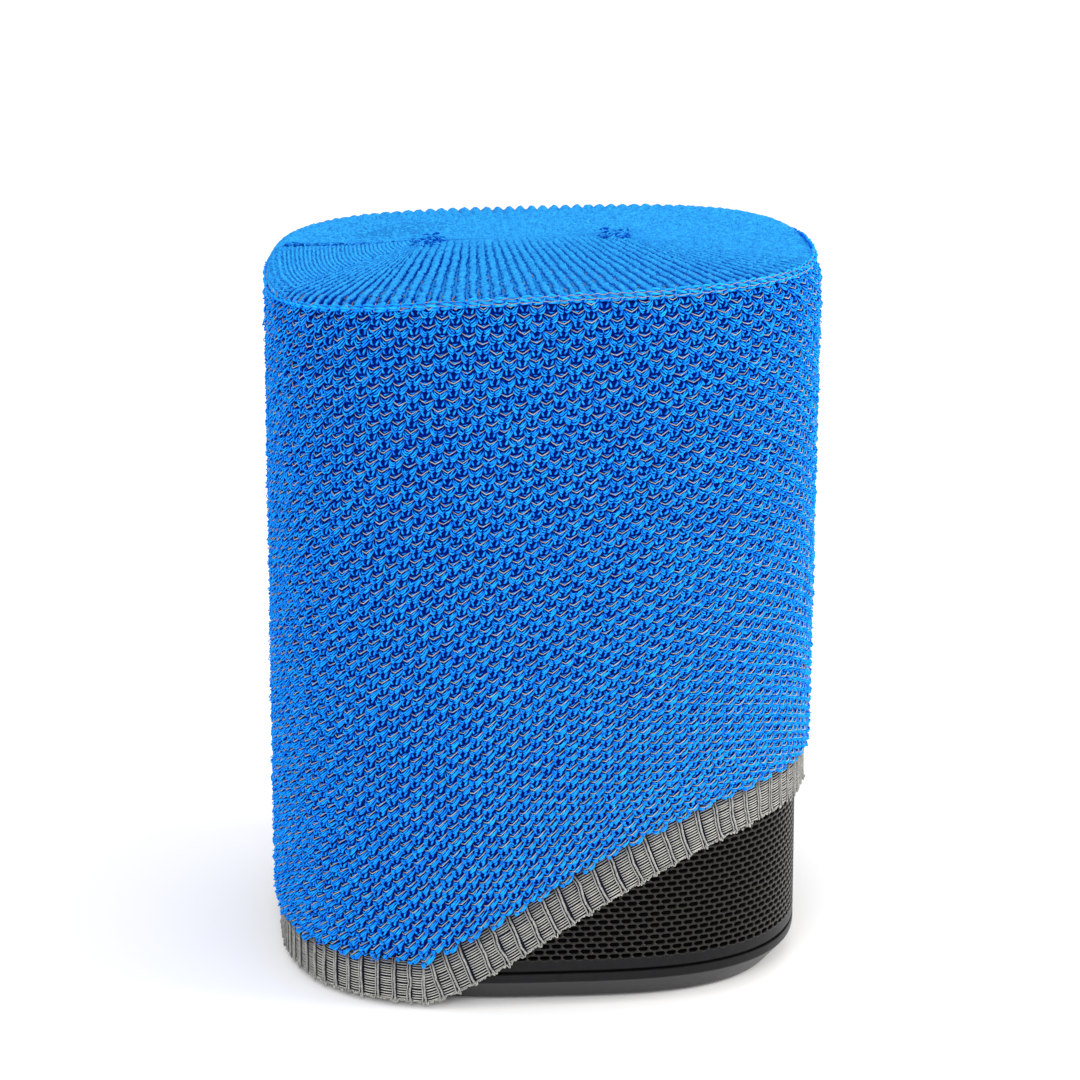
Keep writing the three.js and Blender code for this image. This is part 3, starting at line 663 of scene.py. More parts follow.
def make_top():
    around, k = TOP_STEPS, TOP_LOOPS
    u = arange(around) / around
    r = linspace(0, 1, k) ** 1.1
    uu, rr = np.meshgrid(u, r, indexing="ij")
    side = centred(uu)
    flat = top_point(uu, rr, 0.0)
    x, y = flat[..., 0], flat[..., 1]

    # Deep irregular grooves in front, a wedge of fine rows on the left, and a smooth back.
    front = ease(side, -0.2, -0.15) * ease(-side, -0.19, -0.09)
    wedge = ease(side, -0.3, -0.29) * ease(-side, 0.16, 0.18)
    rib = np.floor(uu * COLUMNS + 0.5)
    phase = uu * COLUMNS - rib + groove_shift(rib, rr)
    width = 0.08 + 0.11 * noise(rib * 5.7 + 40, rr * 80) + 0.07 * exp(-rr * 5)
    groove = exp(-((phase / width) ** 2))
    fade = front * clamp(1.3 - 1.2 * rr) * (0.75 + 0.5 * noise(rib * 9.1 + 7, rr * 55))
    scallop = exp(-rr / 0.16) * (1 - front) * (1.3 - 2 * np.abs(cos(pi * uu * COLUMNS)))
    scallop = scallop * (0.45 + 1.1 * exp(-(((np.abs(side) - 0.5) / 0.09) ** 2))) * ease(rr, 0.0, 0.05)
    rows = wedge * ease(rr, 0.02, 0.06) * ease(-rr, -0.99, -0.93)
    fuzz = noise(x * 2.6 + 900, y * 1.6 + 900)
    coarse = noise(x * 0.9 + 300, y * 0.6 + 300)
    twill = 0.5 + 0.5 * cos(TAU * (0.55 * x + 0.75 * y + 0.6 * fuzz))
    seam = exp(-(((y - GATHER_Y - 0.4) / 1.0) ** 2)) * ease(-x, -GATHER_LEFT - 12, -GATHER_LEFT - 8)
    flecks = seam * (noise(x * 1.1, y * 1.5 + 50) > 0.42)
    lift = -1.3 * groove * fade - 0.55 * scallop + 0.35 * (fuzz - 0.5)
    lift = lift + 0.12 * (coarse - 0.5) - 0.1 * twill * (1 - wedge) - 0.45 * flecks
    lift = lift * clamp((1 - rr) / 0.04)
    # Painted shade: the tone is darker in the grooves, in the twill's hollows, in the seam's dents and under
    # the wedge's loops; the fuzz and coarse noise are real mottling.
    tone = 0.72 + 0.34 * (fuzz - 0.5) + 0.16 * (coarse - 0.5) - 0.12 * twill * (1 - wedge)
    tone = tone - 1.8 * groove * fade - 0.05 * groove * (1 - wedge) * (1 - fade)
    tone = tone - 0.22 * rows - 0.45 * flecks
    # Painted shadow round the knotted ends of the gathered line.
    for end in (GATHER_LEFT + 1.5, GATHER_RIGHT - 0.5):
        near = ((x - end) / 4.5) ** 2 + ((y - GATHER_Y) / 5.0) ** 2
        tone = tone - 0.55 * exp(-near) * noise(x * 1.2 + 70, y * 0.9)
    points = top_point(uu, rr, lift)
    i, j = lattice(around, k - 1)
    ni = (i + 1) % around
    quads = stack(i * k + j, ni * k + j, ni * k + j + 1, i * k + j + 1).reshape(-1, 4)
    rim_ring = arange(around) * k
    last = rim_ring + k - 1
    # The middle closes in a point, and a plain underside makes the piece a closed shell.
    count = around * k
    middle = array([[0.5 * (GATHER_LEFT + GATHER_RIGHT), GATHER_Y, points[:, -1, 2].mean()]])
    foot = top_point(u, full(around, 0.004), -0.35)
    deep = top_point(u, full(around, 0.15), -0.6)
    below = middle - [0.0, 0.0, 0.5]
    for part in (deep, below):
        part[:, 2] = np.maximum(part[:, 2], PANEL_TOP_Z + 0.1)
    pts = join([points.reshape(-1, 3), middle, foot, deep, below])
    tris = stack(last, np.roll(last, -1), full(around, count))
    foot_ring = count + 1 + arange(around)
    deep_ring = foot_ring + around
    floor = stack(np.roll(deep_ring, -1), deep_ring, full(around, count + 1 + 2 * around))
    for high, low in ((rim_ring, foot_ring), (foot_ring, deep_ring)):
        quads = join([quads, stack(high, low, np.roll(low, -1), np.roll(high, -1))])
    tones = join([tone.ravel(), [0.6], full(2 * around + 1, 0.5)])
    top = build("cover_top_ribs", pts, quads, join([tris, floor]), tones, mat=KNIT_TOP)
    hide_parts("cover_top")
    made = [top, make_gathers(), make_wedge_rows(), make_specks()]
    for obj in made:
        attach(obj, "cover")
    return made


def make_gathers(count=150, along=110):
    """The knotted loops where the top is drawn together, and the seam from there to the left edge."""
    t = linspace(-1, 1, 6)[None]
    centre = np.where(arange(count) % 2 == 0, GATHER_LEFT + 1.5, GATHER_RIGHT - 0.5)[:, None]
    x = centre + normal(0, 1.6, (count, 1))
    y = GATHER_Y + normal(0, 3.2, (count, 1))
    x = join([x, uniform(-58.0, GATHER_LEFT - 1.0, (along, 1))])
    y = join([y, GATHER_Y + 0.6 + normal(0, 0.5, (along, 1))])
    size = join([full(count, 0.32), full(along, 0.22)])[:, None]
    count = count + along
    angle = normal(0.7, 0.6, (count, 1))
    reach = uniform(0.6, 1.2, (count, 1))
    bend = normal(0, 0.3, (count, 1)) * (1 - t**2)
    across, up = curl(t, bend, reach, angle)
    flat = stack(x + across, y + up)
    arch = uniform(0.1, 0.5, (count, 1)) * (1 - t**2)
    z = np.maximum(rim_z(flat) + TOP_RISE, PANEL_TOP_Z + 0.6) - 0.15 + arch
    path = join([flat, z[..., None]], -1)
    # Painted shade: about half the loops are darkened, the knots' most, as the shade in the gaps among them.
    shaded_tone = np.where(size > 0.3, 0.12, 0.45)
    tone = np.where(rng.random((count, 1)) < 0.5, shaded_tone, 0.8) * uniform(0.7, 1.0, (count, 1)) + 0 * z
    return strands("cover_gather_knots", path, size + 0 * tone, UP, tone, KNIT_TOP, foot=0.25)


def make_wedge_rows(rows=34, ticks=50):
    """Rows of small loops, parallel to the rim, in the wedge on the left of the top."""
    row, tick = lattice(rows, ticks)
    row, tick = row.ravel()[:, None], tick.ravel()[:, None]
    swing = (tick + 0.5 * (row % 2)) / ticks * 2 - 1
    t = linspace(-1, 1, 5)[None]
    u = -0.229 + 0.062 * swing + t * 0.0014 + normal(0, 0.0002, row.shape)
    r = (row + 1.2 + 0.3 * t + normal(0, 0.08, row.shape)) / (rows + 2)
    taper = np.clip(1 - np.abs(swing) ** 5, 0.1, 1)
    path = top_point(u, r, (0.1 + 0.22 * (1 - t**2)) * taper - 0.1)
    # Painted shade: each loop darkens towards its ends.
    tone = (0.55 + 0.4 * (1 - t**2)) * uniform(0.75, 1.1, row.shape)
    size = 0.27 * np.sqrt(1.02 - 0.8 * t**2) * (1 - 0.4 * r) * (0.5 + 0.5 * taper)
    return strands("cover_top_wedge", path, size, UP, tone, KNIT_TOP, sides=5, foot=0.35)


def make_specks():
    """Short bits of the grey thread that show at the bottom of the front grooves."""
    rib = np.repeat(arange(-22, 24), 3)[:, None]
    count = len(rib)
    start = 0.02 + 0.4 * rng.random((count, 1)) ** 1.5
    r = start + linspace(0, 1, 4)[None] * uniform(0.012, 0.035, (count, 1))
    u = (rib - groove_shift(rib, r)) / COLUMNS
    path = top_point(u, r, -0.62)
    tone = uniform(0.15, 0.6, (count, 1)) + 0 * r
    radius = full(tone.shape, SPECK_RADIUS)
    return strands("cover_top_specks", path, radius, UP, tone, ELASTIC_YARN, sides=5)


def rim_out(share):
    """The plan's point, how far out the top edge stands there, and how much the top hides it."""
    edge = plan.at(share, 0.0, 0.0)
    return edge, 0.9 * right_side(edge) ** 2 - shoulder(edge, 0.0), hidden_rim(edge)


def rim_drop(height, hidden):
    """How far the rim's rows hang lower where the top folds over them."""
    return (1.7 + 0.7 * height) * hidden


def make_rim():
    """The two chained rows and the fine grey threads along the cover's top edge."""
    made = []
    u0 = (arange(COLUMNS) + 0.5) / COLUMNS

    def row(name, control, radius, spread=(0.05, 0.07, 0.08), shift=0.0):
        c = array(control)
        own = normal(0, 1, (COLUMNS, len(c), 3)) * spread
        whole = normal(0, 1, (COLUMNS, 3)) * spread
        a, b, d = np.moveaxis(c + own + whole[:, None], -1, 0)
        share = u0[:, None] + (a + shift) / COLUMNS
        edge, out, hidden = rim_out(share)
        z = rim_z(edge) + b - rim_drop(b, hidden)
        # Painted shade: each strand darkens towards its ends, where it tucks under its neighbours.
        tone = (0.45 + 0.4 * bulge(len(c))) * uniform(0.75, 1.1, (COLUMNS, 1))
        outward = unit(plan.normal(share) + [0.0, 0.0, 0.7])
        size = radius * uniform(0.85, 1.15, (COLUMNS, 1))
        made.append(strands(name, plan.at(share, z, d + out), size, outward, tone, KNIT, foot=0.5))

    low = [(-0.46, -0.2, 2.5), (-0.25, -0.02, 3.2), (0, 0.04, 3.4), (0.25, -0.02, 3.2), (0.46, -0.2, 2.5)]
    row("cover_rim_bars", low, [0.12, 0.28, 0.32, 0.28, 0.12])
    chain = [(-0.62, 1.2, 2.7), (-0.3, 1.06, 3.45), (0, 0.9, 3.6), (0.3, 0.7, 3.45), (0.55, 0.4, 2.9)]
    row("cover_rim_chain", chain, [0.1, 0.27, 0.3, 0.27, 0.1])
    arch = [(-0.44, 1.05, 2.5), (-0.32, 1.55, 2.95), (0, 1.8, 2.9), (0.32, 1.55, 2.95), (0.44, 1.05, 2.5)]
    row("cover_rim_arches", arch, [0.1, 0.24, 0.26, 0.24, 0.1])
    tie = [(-0.1, -0.35, 2.8), (-0.03, 0.2, 3.75), (0.04, 0.65, 3.85), (0.1, 1.15, 3.2)]
    row("cover_rim_ties", tie, [0.12, 0.22, 0.22, 0.12], shift=0.5)
    for name, height, out, wave in (("low", 0.45, 3.72, 0.1), ("high", 1.35, 3.15, 0.16)):
        steps = COLUMNS * 8
        share = arange(steps) / steps
        edge, extra, hidden = rim_out(share)
        z = rim_z(edge) + height + wave * cos(TAU * share * COLUMNS)
        z = z + 0.12 * sin(TAU * share * 11) - rim_drop(height, hidden)
        line = plan.at(share, z, out + extra - 1.3 * hidden)
        made.append(closed_loop(f"cover_rim_thread_{name}", line, plan.normal(share)))
    for obj in made:
        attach(obj, "cover")
    return made


def closed_loop(name, line, outward, sides=6):
    """One endless grey thread through the points of line."""
    along = unit(np.roll(line, -1, 0) - np.roll(line, 1, 0))
    across = unit(np.cross(along, outward))
    up = np.cross(across, along)
    turn = TAU * arange(sides) / sides
    spoke = cos(turn)[:, None] * across[:, None] + sin(turn)[:, None] * up[:, None]
    points = line[:, None] + THREAD_RADIUS * spoke
    quads = np.roll(ring_quads(len(line), sides)[:, ::-1], 1, axis=1)
    return build(name, points, quads, tone=full(points.shape[:2], 0.5), mat=ELASTIC_YARN)


# ---- hem

RIDGES, RUNGS = 108, 15
HEM_LEAN = 0.75  # how far the ridges lean towards square to the edge
HEM_IN, HEM_OUT = 0.75, 1.15
RUNG_RADIUS, LOOP_RADIUS = 0.145, 0.16
# The small loops of the lower edge, as (place in a ridge's pitch, half width, drop).
EDGE_LOOPS = [(-0.14, 0.07, 0.045), (-0.02, 0.08, 0.06), (0.12, 0.07, 0.07), (0.25, 0.08, 0.05),
              (0.4, 0.08, 0.03), (0.56, 0.08, 0.03), (0.72, 0.08, 0.03)]


def hem(share, w, out):
    """A point of the hem: w is 0 at its top and 1 at its lower edge, and it lies square to that edge."""
    share, w, out = np.broadcast_arrays(share, w, out)
    m = hem_slope(share)
    run = HEM_DEEP * (1 - w) * np.sqrt(1 + m * m)
    lean = HEM_LEAN * m * HEM_DEEP * (1 - w) / np.sqrt(1 + m * m)
    at = share - lean / plan.round
    return plan.at(at, hem_bottom(at) + run, out), at


def make_hem():
    def place(u, w, out):
        return hem(u, w, out)[0]

    ground = shell("hem_ground", linspace(-0.16, 0.985, 12), HEM_OUT, HEM_IN, RIB_GROUND_SHADE, place)
    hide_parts("cover_hem")
    made = []
    ridge = arange(RIDGES) / RIDGES + normal(0, 0.05, RIDGES) / RIDGES
    pitch = 1.0 / RIDGES

    # Fine rungs between the ridges, along the hem.
    k = 4
    rung = (arange(-2, RUNGS) + 0.5) / RUNGS
    gap = np.append(ridge[1:], ridge[0] + 1) - ridge
    t = linspace(0.25, 0.95, k)
    share = ridge[:, None, None] + gap[:, None, None] * t
    w = rung[None, :, None] + normal(0, 0.005, (RIDGES, RUNGS + 2, 1)) + 0.0 * t
    arch = bulge(k, 0.12)
    out = 1.45 + 0.25 * arch + normal(0, 0.03, (RIDGES, RUNGS + 2, 1))
    share, w, out = (x.reshape(-1, k) for x in np.broadcast_arrays(share, w, out))
    point, at = hem(share, w, out)
    # Painted shade: a rung darkens towards its ends under the ridges, and painted shadow darkens it towards
    # the hem's top, under the knit.
    tone = (0.75 + 0.25 * arch)[None] * np.clip(0.4 + 1.8 * w, 0.25, 1.0)
    tone = tone * uniform(0.8, 1.05, (len(point), 1))
    radius = full(tone.shape, RUNG_RADIUS)
    made.append(strands("hem_rungs", point, radius, plan.normal(at), tone, RIB_LIGHT))

    # A smooth ridge and a knotted one side by side, crossing the hem.
    k = 34
    w = linspace(-0.12, 1.0, k)
    fan = clamp((w - 0.8) / 0.2) ** 2
    waves = np.stack([sin(pi * n * w) for n in (1, 2, 3)])
    wander = (normal(0, 1, (RIDGES, 3, 1)) * waves[None]).sum(1) * 0.018 - 0.04 * waves[0]
    knot = 0.5 + 0.5 * cos(TAU * w * RUNGS)
    for name, side, size, bright in (("smooth", -0.03, 0.2, 0.95), ("knotted", 0.125, 0.27, 0.85)):
        spread = 0.05 * fan * np.sign(side)
        share = ridge[:, None] + (side + spread[None] + wander + normal(0, 0.008, (RIDGES, k))) * pitch
        rough = knot if name == "knotted" else 0.3 * knot
        point, at = hem(share, w[None], 1.75 + 0.12 * rough[None] + 0.1 * fan[None])
        radius = size * (0.84 + 0.3 * rough)[None] * uniform(0.9, 1.1, (RIDGES, k))
        # Painted shade between the knots, and painted shadow towards the hem's top, under the knit.
        tone = bright * (0.8 + 0.2 * rough)[None] * np.clip(0.4 + 2.2 * w, 0.3, 1.0)[None]
        tone = tone * uniform(0.75, 1.2, (RIDGES, k))
        made.append(strands(f"hem_ridges_{name}", point, radius, plan.normal(at), tone, RIB, sides=7))

    # Small curled loops that finish the lower edge.
    loops = []
    bow = linspace(-1, 1, 7)
    for offset, width, drop in EDGE_LOOPS:
        twist = normal(0, 0.02, (RIDGES, 1))
        across = offset + twist + width * bow[None] * uniform(0.7, 1.2, (RIDGES, 1))
        share = ridge[:, None] + across * pitch
        w = 0.97 + 1.15 * drop * (1 - bow**2) * uniform(0.5, 1.5, (RIDGES, 1))
        point, at = hem(share, w, 1.7 + 0.25 * normal(0, 1, (RIDGES, 1)) + 0 * share)
        loops.append((point, plan.normal(at)))
    point, outward = (join(part) for part in zip(*loops))
    tone = full(point.shape[:2], 0.8) * uniform(0.6, 1.0, (len(point), 1))
    radius = full(tone.shape, LOOP_RADIUS)
    made.append(strands("hem_edge_loops", point, radius, outward, tone, RIB_LIGHT))
    for obj in [ground, *made]:
        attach(obj, "cover")
    return ground, made


# ---- the perforated grille

SLOTS, SLOT_ROWS, ROW_STEP = 152, 104, 1.39
FIRST_ROW_Z = 11.9
GRILLE_LOW, GRILLE_HIGH = 8.6, 157.2
WINDOW_HALF, WINDOW_LOW, WINDOW_HIGH = 13.2, 22.8, 37.2
CLOTH_GAP, CLOTH_WINDOW_LOW, CLOTH_WINDOW_HIGH = 12.7, 23.3, 36.7
CLOTH_OUT, CLOTH_IN, WEAVE = -1.5, -1.8, 0.03
CLOTH_STEPS, CLOTH_ROWS = 240, 30
BAND_ROWS = 26
# A cell of the sheet is a hexagon with a slot in it; both as half sizes.
CELL_TIP, CELL_FLANK = 0.94, 0.45
HOLE = array([(-0.76, 0.55), (0.76, 0.55), (1.2, 0.21), (1.2, -0.21), (0.76, -0.55), (-0.76, -0.55),
              (-1.2, -0.21), (-1.2, 0.21)])
LIP_IN, SLOT_IN, WELD = -0.09, -0.4, 0.02


def make_grille():
    """Staggered slots round the whole sleeve, cut through the sheet, in bands of rows."""
    width = plan.round / SLOTS
    side, tip, flank = 0.5 * width, CELL_TIP, CELL_FLANK
    outer = array([(0, tip), (side, flank), (side, -flank), (0, -tip), (-side, -flank), (-side, flank)])
    corner = join([outer, HOLE, HOLE, HOLE])
    out = join([np.zeros(14), full(8, LIP_IN), full(8, SLOT_IN)])
    inset = join([np.ones(6), full(8, 1.05), full(8, 0.96), full(8, 0.94)])
    quad = [(0, 1, 8, 7), (1, 2, 9, 8), (2, 3, 10, 9), (3, 4, 12, 11), (4, 5, 13, 12), (5, 0, 6, 13)]
    tri = array([(0, 7, 6), (3, 11, 10)])
    here = arange(8)
    after = (here + 1) % 8
    walls = [stack(a + here, a + after, a + 8 + after, a + 8 + here) for a in (6, 14)]
    made = []
    for band in range(SLOT_ROWS // BAND_ROWS):
        i, j = (x.ravel() for x in lattice(SLOTS, BAND_ROWS))
        j = j + band * BAND_ROWS
        s = (i + 0.5 * (j % 2)) * width
        z = FIRST_ROW_Z + j * ROW_STEP
        middle = plan.at(s / plan.round, z, 0 * z)
        window = (np.abs(middle[:, 0]) < WINDOW_HALF) & (z > WINDOW_LOW) & (z < WINDOW_HIGH)
        keep = ~(window & (middle[:, 1] > 0))
        s, z = s[keep], z[keep]
        share = (s[:, None] + corner[None, :, 0] * inset) / plan.round
        points = plan.at(share, z[:, None] + corner[None, :, 1] * inset, out[None])
        first = (arange(len(s)) * 30)[:, None, None]
        quads = (join([quad, *walls])[None] + first).reshape(-1, 4)
        tris = (tri[None] + first).reshape(-1, 3)
        obj = build(f"grille_band_{band + 1}", points, quads, tris, mat=GRILLE)
        weld(obj, WELD)
        made.append(obj)
    low, high = FIRST_ROW_Z - 0.5 * tip, FIRST_ROW_Z + (SLOT_ROWS - 1) * ROW_STEP + 0.5 * tip
    face, back, soft = -0.02, -1.0, 0.25
    foot, head = GRILLE_LOW, GRILLE_HIGH
    lower = [(face, foot + soft), (-soft, foot), (back, foot), (back, low), (face, low)]
    upper = [(face, high), (back, high), (back, head), (-soft, head), (face, head - soft)]
    made += [ring("grille_lower_edge", lower, HOUSING), ring("grille_upper_edge", upper, GRILLE)]
    for obj in made:
        if "edge" in obj.name:
            smooth_by_angle(obj)
        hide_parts("grille")
        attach(obj, "speaker")


def make_grille_cloth():
    """The black cloth stretched inside the sleeve, with an opening behind the control panel."""
    low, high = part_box("grille_cloth")
    z_low, z_high = low[2] / MM + 0.1, high[2] / MM - 0.1
    table = plan.xy[:, 1] > 0
    shares = plan.length[table] / plan.round
    edges = [np.interp(x, plan.xy[table, 0][::-1], shares[::-1]) for x in (CLOTH_GAP, -CLOTH_GAP)]
    u = np.sort(join([arange(CLOTH_STEPS) / CLOTH_STEPS, edges]))
    z = np.sort(join([linspace(z_low, z_high, CLOTH_ROWS), [CLOTH_WINDOW_LOW, CLOTH_WINDOW_HIGH]]))
    n, k = len(u), len(z)
    weave = WEAVE * cos(pi * arange(n))[:, None] * cos(pi * arange(k))[None]
    layers = [plan.at(u[:, None], z[None], out + weave).reshape(-1, 3) for out in (CLOTH_OUT, CLOTH_IN)]
    i, j = lattice(n, k - 1)
    mid_u, mid_z = u + 0.5 * (np.roll(u, -1) - u), 0.5 * (z[1:] + z[:-1])
    across = (mid_u > edges[0]) & (mid_u < edges[1])
    upright = (mid_z > CLOTH_WINDOW_LOW) & (mid_z < CLOTH_WINDOW_HIGH)
    cloth = ~(across[:, None] & upright[None])
    ni = (i + 1) % n
    a, b, c, d = i * k + j, ni * k + j, ni * k + j + 1, i * k + j + 1
    back = n * k
    faces = [stack(a, b, c, d)[cloth], stack(d, c, b, a)[cloth] + back]
    above = np.pad(cloth, ((0, 0), (0, 1)))[:, 1:]
    below = np.pad(cloth, ((0, 0), (1, 0)))[:, :-1]
    before, after = np.roll(cloth, 1, 0), np.roll(cloth, -1, 0)
    for beyond, p, q in ((after, b, c), (before, d, a), (above, c, d), (below, a, b)):
        faces.append(stack(q, p, p + back, q + back)[cloth & ~beyond])
    used, quads = np.unique(join(faces), return_inverse=True)
    points = join(layers)[used]
    obj = build("grille_cloth_woven", points, quads.reshape(-1, 4), mat=CAD_LOOKS["acoustic_cloth"])
    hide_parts("grille_cloth")
    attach(obj, "speaker")
    return obj


SIGN_REACH, SIGN_HALF, SIGN_OFF = 3.2, 0.45, 22.0  # a bar's half length, half width and place
RING_IN, RING_OUT, RING_Y, RING_STEPS = 2.1, 3.0, 24.0, 48
SIGN_LOW, SIGN_HIGH = PANEL_TOP_Z - 0.05, PANEL_TOP_Z + 0.06
BLOCK = array([(3, 2, 1, 0), (4, 5, 6, 7), (0, 1, 5, 4), (1, 2, 6, 5), (2, 3, 7, 6), (3, 0, 4, 7)])


def make_touch_signs():
    """Plain touch signs on the top panel: less, more, a triangle and a ring."""

    def bar(x0, x1, y0, y1):
        return array([(x0, y0), (x1, y0), (x1, y1), (x0, y1)])

    reach, half, place = SIGN_REACH, SIGN_HALF, array([SIGN_OFF, 0.0])
    arm = bar(half, reach, -half, half)
    wedge = array([(-2.0, -2.8), (3.0, -0.25), (3.0, 0.25), (-2.0, 2.8)])
    upright = bar(-half, half, -reach, reach) + place
    outlines = [bar(-reach, reach, -half, half) - place, upright, arm + place, -arm + place, wedge]
    turn = TAU * arange(RING_STEPS + 1) / RING_STEPS
    spoke = stack(cos(turn), sin(turn))
    for a, b in zip(spoke[:-1], spoke[1:]):
        outlines.append(array([RING_IN * a, RING_OUT * a, RING_OUT * b, RING_IN * b]) + (0.0, RING_Y))
    blocks = [np.c_[outline, full(4, z)] for outline in outlines for z in (SIGN_LOW, SIGN_HIGH)]
    quads = (BLOCK[None] + 8 * arange(len(outlines))[:, None, None]).reshape(-1, 4)
    obj = build("touch_signs", join(blocks), quads, mat=PRINT, smooth=False)
    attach(obj, "speaker")


def weld(obj, distance):
    """Join points nearer than the distance, and shade the faces flat."""
    bm = bmesh.new()
    bm.from_mesh(obj.data)
    bmesh.ops.remove_doubles(bm, verts=bm.verts, dist=distance * MM)
    for face in bm.faces:
        face.smooth = False
    bm.to_mesh(obj.data)
    bm.free()


# ---- base shell

BASE_SECTION = [(-5.1, 0.9), (-4.75, 0.95), (-0.35, 5.75), (-0.1, 6.05), (0, 6.45), (0, 7.85), (-0.15, 8.0),
                (-1.6, 8.0), (-1.6, 10.5), (-3.4, 10.5), (-3.4, 6.9), (-7.2, 2.7), (-7.2, 0.9)]
CHANNEL = ((-4.5, 4.5), (40.0, 66.0), (-1.0, 7.1))  # the cord's channel under the back: x, y, z
CHAMFER_LOW, CHAMFER_HIGH = 1.0, 5.9
BOX_FACES = [(0, 1, 3, 2), (4, 6, 7, 5), (0, 4, 5, 1), (2, 3, 7, 6), (0, 2, 6, 4), (1, 5, 7, 3)]


def make_base():
    """The base shell, with a lighter copy of its material on the chamfer as painted reflection of the floor,
    and a channel cut for a cord.
    """
    shell_ring = ring("base_band", BASE_SECTION, HOUSING)
    cutter = add("channel_cutter", bpy.data.meshes.new("channel_cutter"))
    corners = [(x * MM, y * MM, z * MM) for x in CHANNEL[0] for y in CHANNEL[1] for z in CHANNEL[2]]
    cutter.data.from_pydata(corners, [], BOX_FACES)
    smooth_by_angle(shell_ring)
    cut = shell_ring.modifiers.new("channel", "BOOLEAN")
    cut.object = cutter
    cut.operation = "DIFFERENCE"
    cut.solver = "EXACT"
    bpy.context.view_layer.update()
    graph = bpy.context.evaluated_depsgraph_get()
    fresh = bpy.data.meshes.new_from_object(shell_ring.evaluated_get(graph), depsgraph=graph)
    shell_ring.modifiers.clear()
    shell_ring.data = fresh
    bpy.data.objects.remove(cutter)
    smooth_by_angle(shell_ring)
    shell_ring.data.materials.append(CHAMFER_PAINTED_REFLECTION)
    # Painted reflection: the chamfer's downward faces take the lighter copy, for the light the floor throws
    # up.
    for face in shell_ring.data.polygons:
        if -0.95 < face.normal.z < -0.3 and CHAMFER_LOW * MM < face.center.z < CHAMFER_HIGH * MM:
            face.material_index = 1
    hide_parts("base_shell")
    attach(shell_ring, "speaker")


# ---- everything

MOULDED = {"bump": 0.15, "bump_mm": 0.02, "bump_grain": 8000}
# The knit's tone attribute holds painted shade: strands darken at their undersides, ends and deep points, and
# the top in its grooves.
KNIT = material("knit_blue", (0, 0.01, 0.6), (0.015, 0.43, 1), 900, (0.85, 0.97), tone="tone",
    bump=0.5, bump_mm=0.1, bump_grain=5200, specular=0.01)
KNIT_TOP = material("knit_blue_top", (0, 0.035, 0.36), (0.04, 0.46, 1), 3000, (0.85, 0.95),
    tone="tone", speckle=0.8, bump=0.8, bump_mm=0.3, bump_grain=3000, specular=0.0)
# The knit's inner ground: a real layer, coloured near-black blue as painted shade for the gaps between the
# strands.
KNIT_GROUND_SHADE = material("knit_ground", (0, 0.005, 0.1), (0, 0.017, 0.27), 1500, (0.9, 1), bump=0.6,
    bump_mm=0.2, specular=0.02)
ELASTIC_YARN = material("elastic_grey", (0.09, 0.087, 0.08), (0.44, 0.445, 0.42), 2500, (0.6, 0.8),
    tone="tone", bump=0.3, specular=0.2)
RIB = material("rib_grey", (0.03, 0.033, 0.045), (0.4, 0.4, 0.37), 3200, (0.75, 0.95), tone="tone",
    bump=0.5, speckle=0.5, bump_mm=0.1, specular=0.1)
RIB_LIGHT = material("rib_light", (0.02, 0.023, 0.045), (0.52, 0.515, 0.46), 3200, (0.75, 0.95),
    tone="tone", bump=0.4, bump_mm=0.06, specular=0.1)
# The hem's inner ground: a real layer, coloured near-black as painted shade for the gaps between the ridges
# and rungs.
RIB_GROUND_SHADE = material("rib_ground", (0.005, 0.006, 0.016), (0.013, 0.015, 0.03), 2000, (0.9, 1), bump=0.4,
    specular=0.05)
GRILLE = material("grille_black", (0.008, 0.0077, 0.0068), (0.016, 0.0154, 0.0135), 700, (0.3, 0.42),
    bump=0.12, bump_mm=0.02, bump_grain=9000, specular=0.22, sheen=0.06, sheen_tint=(1, 0.93, 0.74))
HOUSING = material("housing_black", (0.0045, 0.0047, 0.005), (0.0075, 0.0077, 0.008), 600, (0.36, 0.46),
    specular=0.14, **MOULDED)
# A lighter copy of the housing's material: painted reflection of the floor on the base's chamfer.
CHAMFER_PAINTED_REFLECTION = material("housing_chamfer_painted_reflection", (0.011, 0.0107, 0.0115), (0.016, 0.0157, 0.0165), 600, (0.3, 0.42),
    specular=0.3, **MOULDED)
PRINT = material("printed_grey", (0.2, 0.205, 0.21), (0.3, 0.305, 0.31), 900, (0.5, 0.65), bump=0.1)

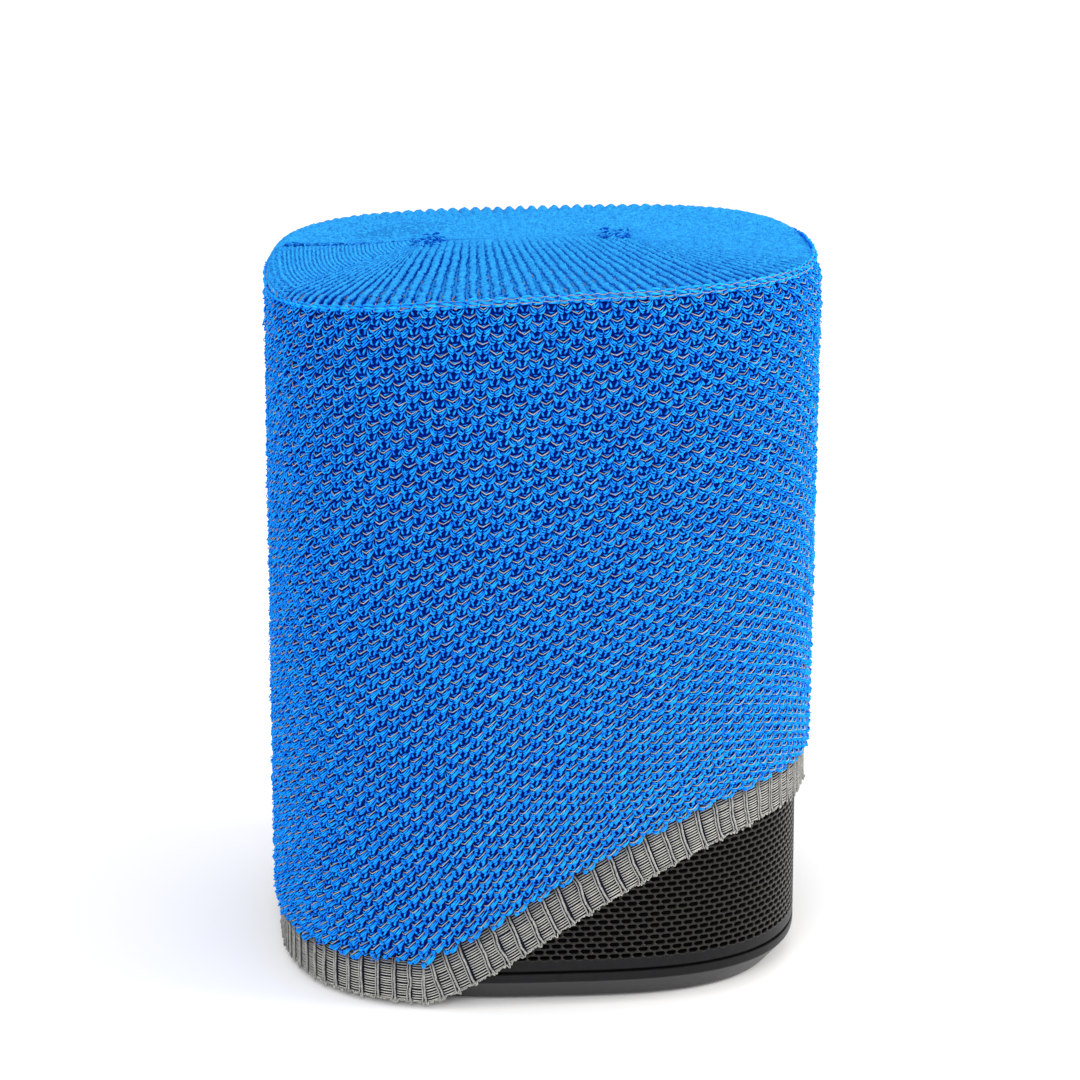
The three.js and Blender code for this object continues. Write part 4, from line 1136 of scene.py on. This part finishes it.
CAD_LOOKS = {
    "plastic": material("moulded_grey", (0.02, 0.021, 0.023), (0.034, 0.035, 0.038), 500, (0.5, 0.65),
        bump_grain=6000),
    "housing": HOUSING,
    "rubber": material("rubber_black", (0.009, 0.0095, 0.01), (0.018, 0.018, 0.019), 900, (0.75, 0.9),
        bump_grain=7000),
    "acoustic_cloth": material("acoustic_cloth", (0.001,) * 3, (0.003,) * 3, 3000, (0.9, 1), bump=0.5,
        specular=0.02),
    "cone": material("cone_pulp", (0.012, 0.012, 0.014), (0.03, 0.03, 0.034), 700, (0.6, 0.8),
        bump_grain=3000),
    "silk": material("dome_silk", (0.02, 0.021, 0.024), (0.045, 0.047, 0.052), 2500, (0.5, 0.65), bump=0.4),
    "spider": material("spider_resin", (0.3, 0.17, 0.05), (0.5, 0.32, 0.12), 2200, (0.7, 0.85), bump=0.5),
    "ferrite": material("ferrite", (0.03, 0.031, 0.034), (0.055, 0.056, 0.06), 1200, (0.55, 0.75), metal=0.3),
    "steel": material("zinc_steel", (0.42, 0.43, 0.45), (0.62, 0.64, 0.66), 400, (0.22, 0.4), metal=1.0,
        bump=0.08),
    "aluminium": material("aluminium", (0.5, 0.51, 0.53), (0.68, 0.7, 0.72), 500, (0.28, 0.45), metal=1.0,
        bump=0.1),
    "board": material("solder_mask", (0.005, 0.06, 0.024), (0.012, 0.12, 0.05), 900, (0.3, 0.5), bump=0.1),
    "copper": material("copper_wire", (0.36, 0.13, 0.05), (0.6, 0.26, 0.12), 3500, (0.25, 0.45), metal=1.0,
        bump=0.5, stretch=(1, 6, 1)),
    "brass": material("plated_brass", (0.5, 0.36, 0.12), (0.72, 0.56, 0.24), 700, (0.2, 0.35), metal=1.0,
        bump=0.05),
    "light": material("light_pipe", (0.75, 0.78, 0.8), (0.88, 0.9, 0.92), 500, (0.25, 0.35), bump=0.05),
    "knit": KNIT_GROUND_SHADE,
    "rib": RIB_GROUND_SHADE,
    "grille": GRILLE,
}


def dress_cad():
    """Give every CAD node the material of its slot."""
    slots = {p["node"]: p["material_slot"] for p in frame["record"]["subparts"]}
    for name, obj in nodes.items():
        obj.data.materials.clear()
        obj.data.materials.append(CAD_LOOKS[slots[name]])


make_camera()
make_studio()
scene.view_settings.view_transform = "Standard"
dress_cad()
make_base()
make_grille()
grille_cloth = make_grille_cloth()
make_touch_signs()
wall_ground, wall_pieces = make_wall()
top_pieces = make_top()
rim_pieces = make_rim()
hem_ground, hem_pieces = make_hem()

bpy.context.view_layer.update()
list(wall_pieces)
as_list(hem_pieces)
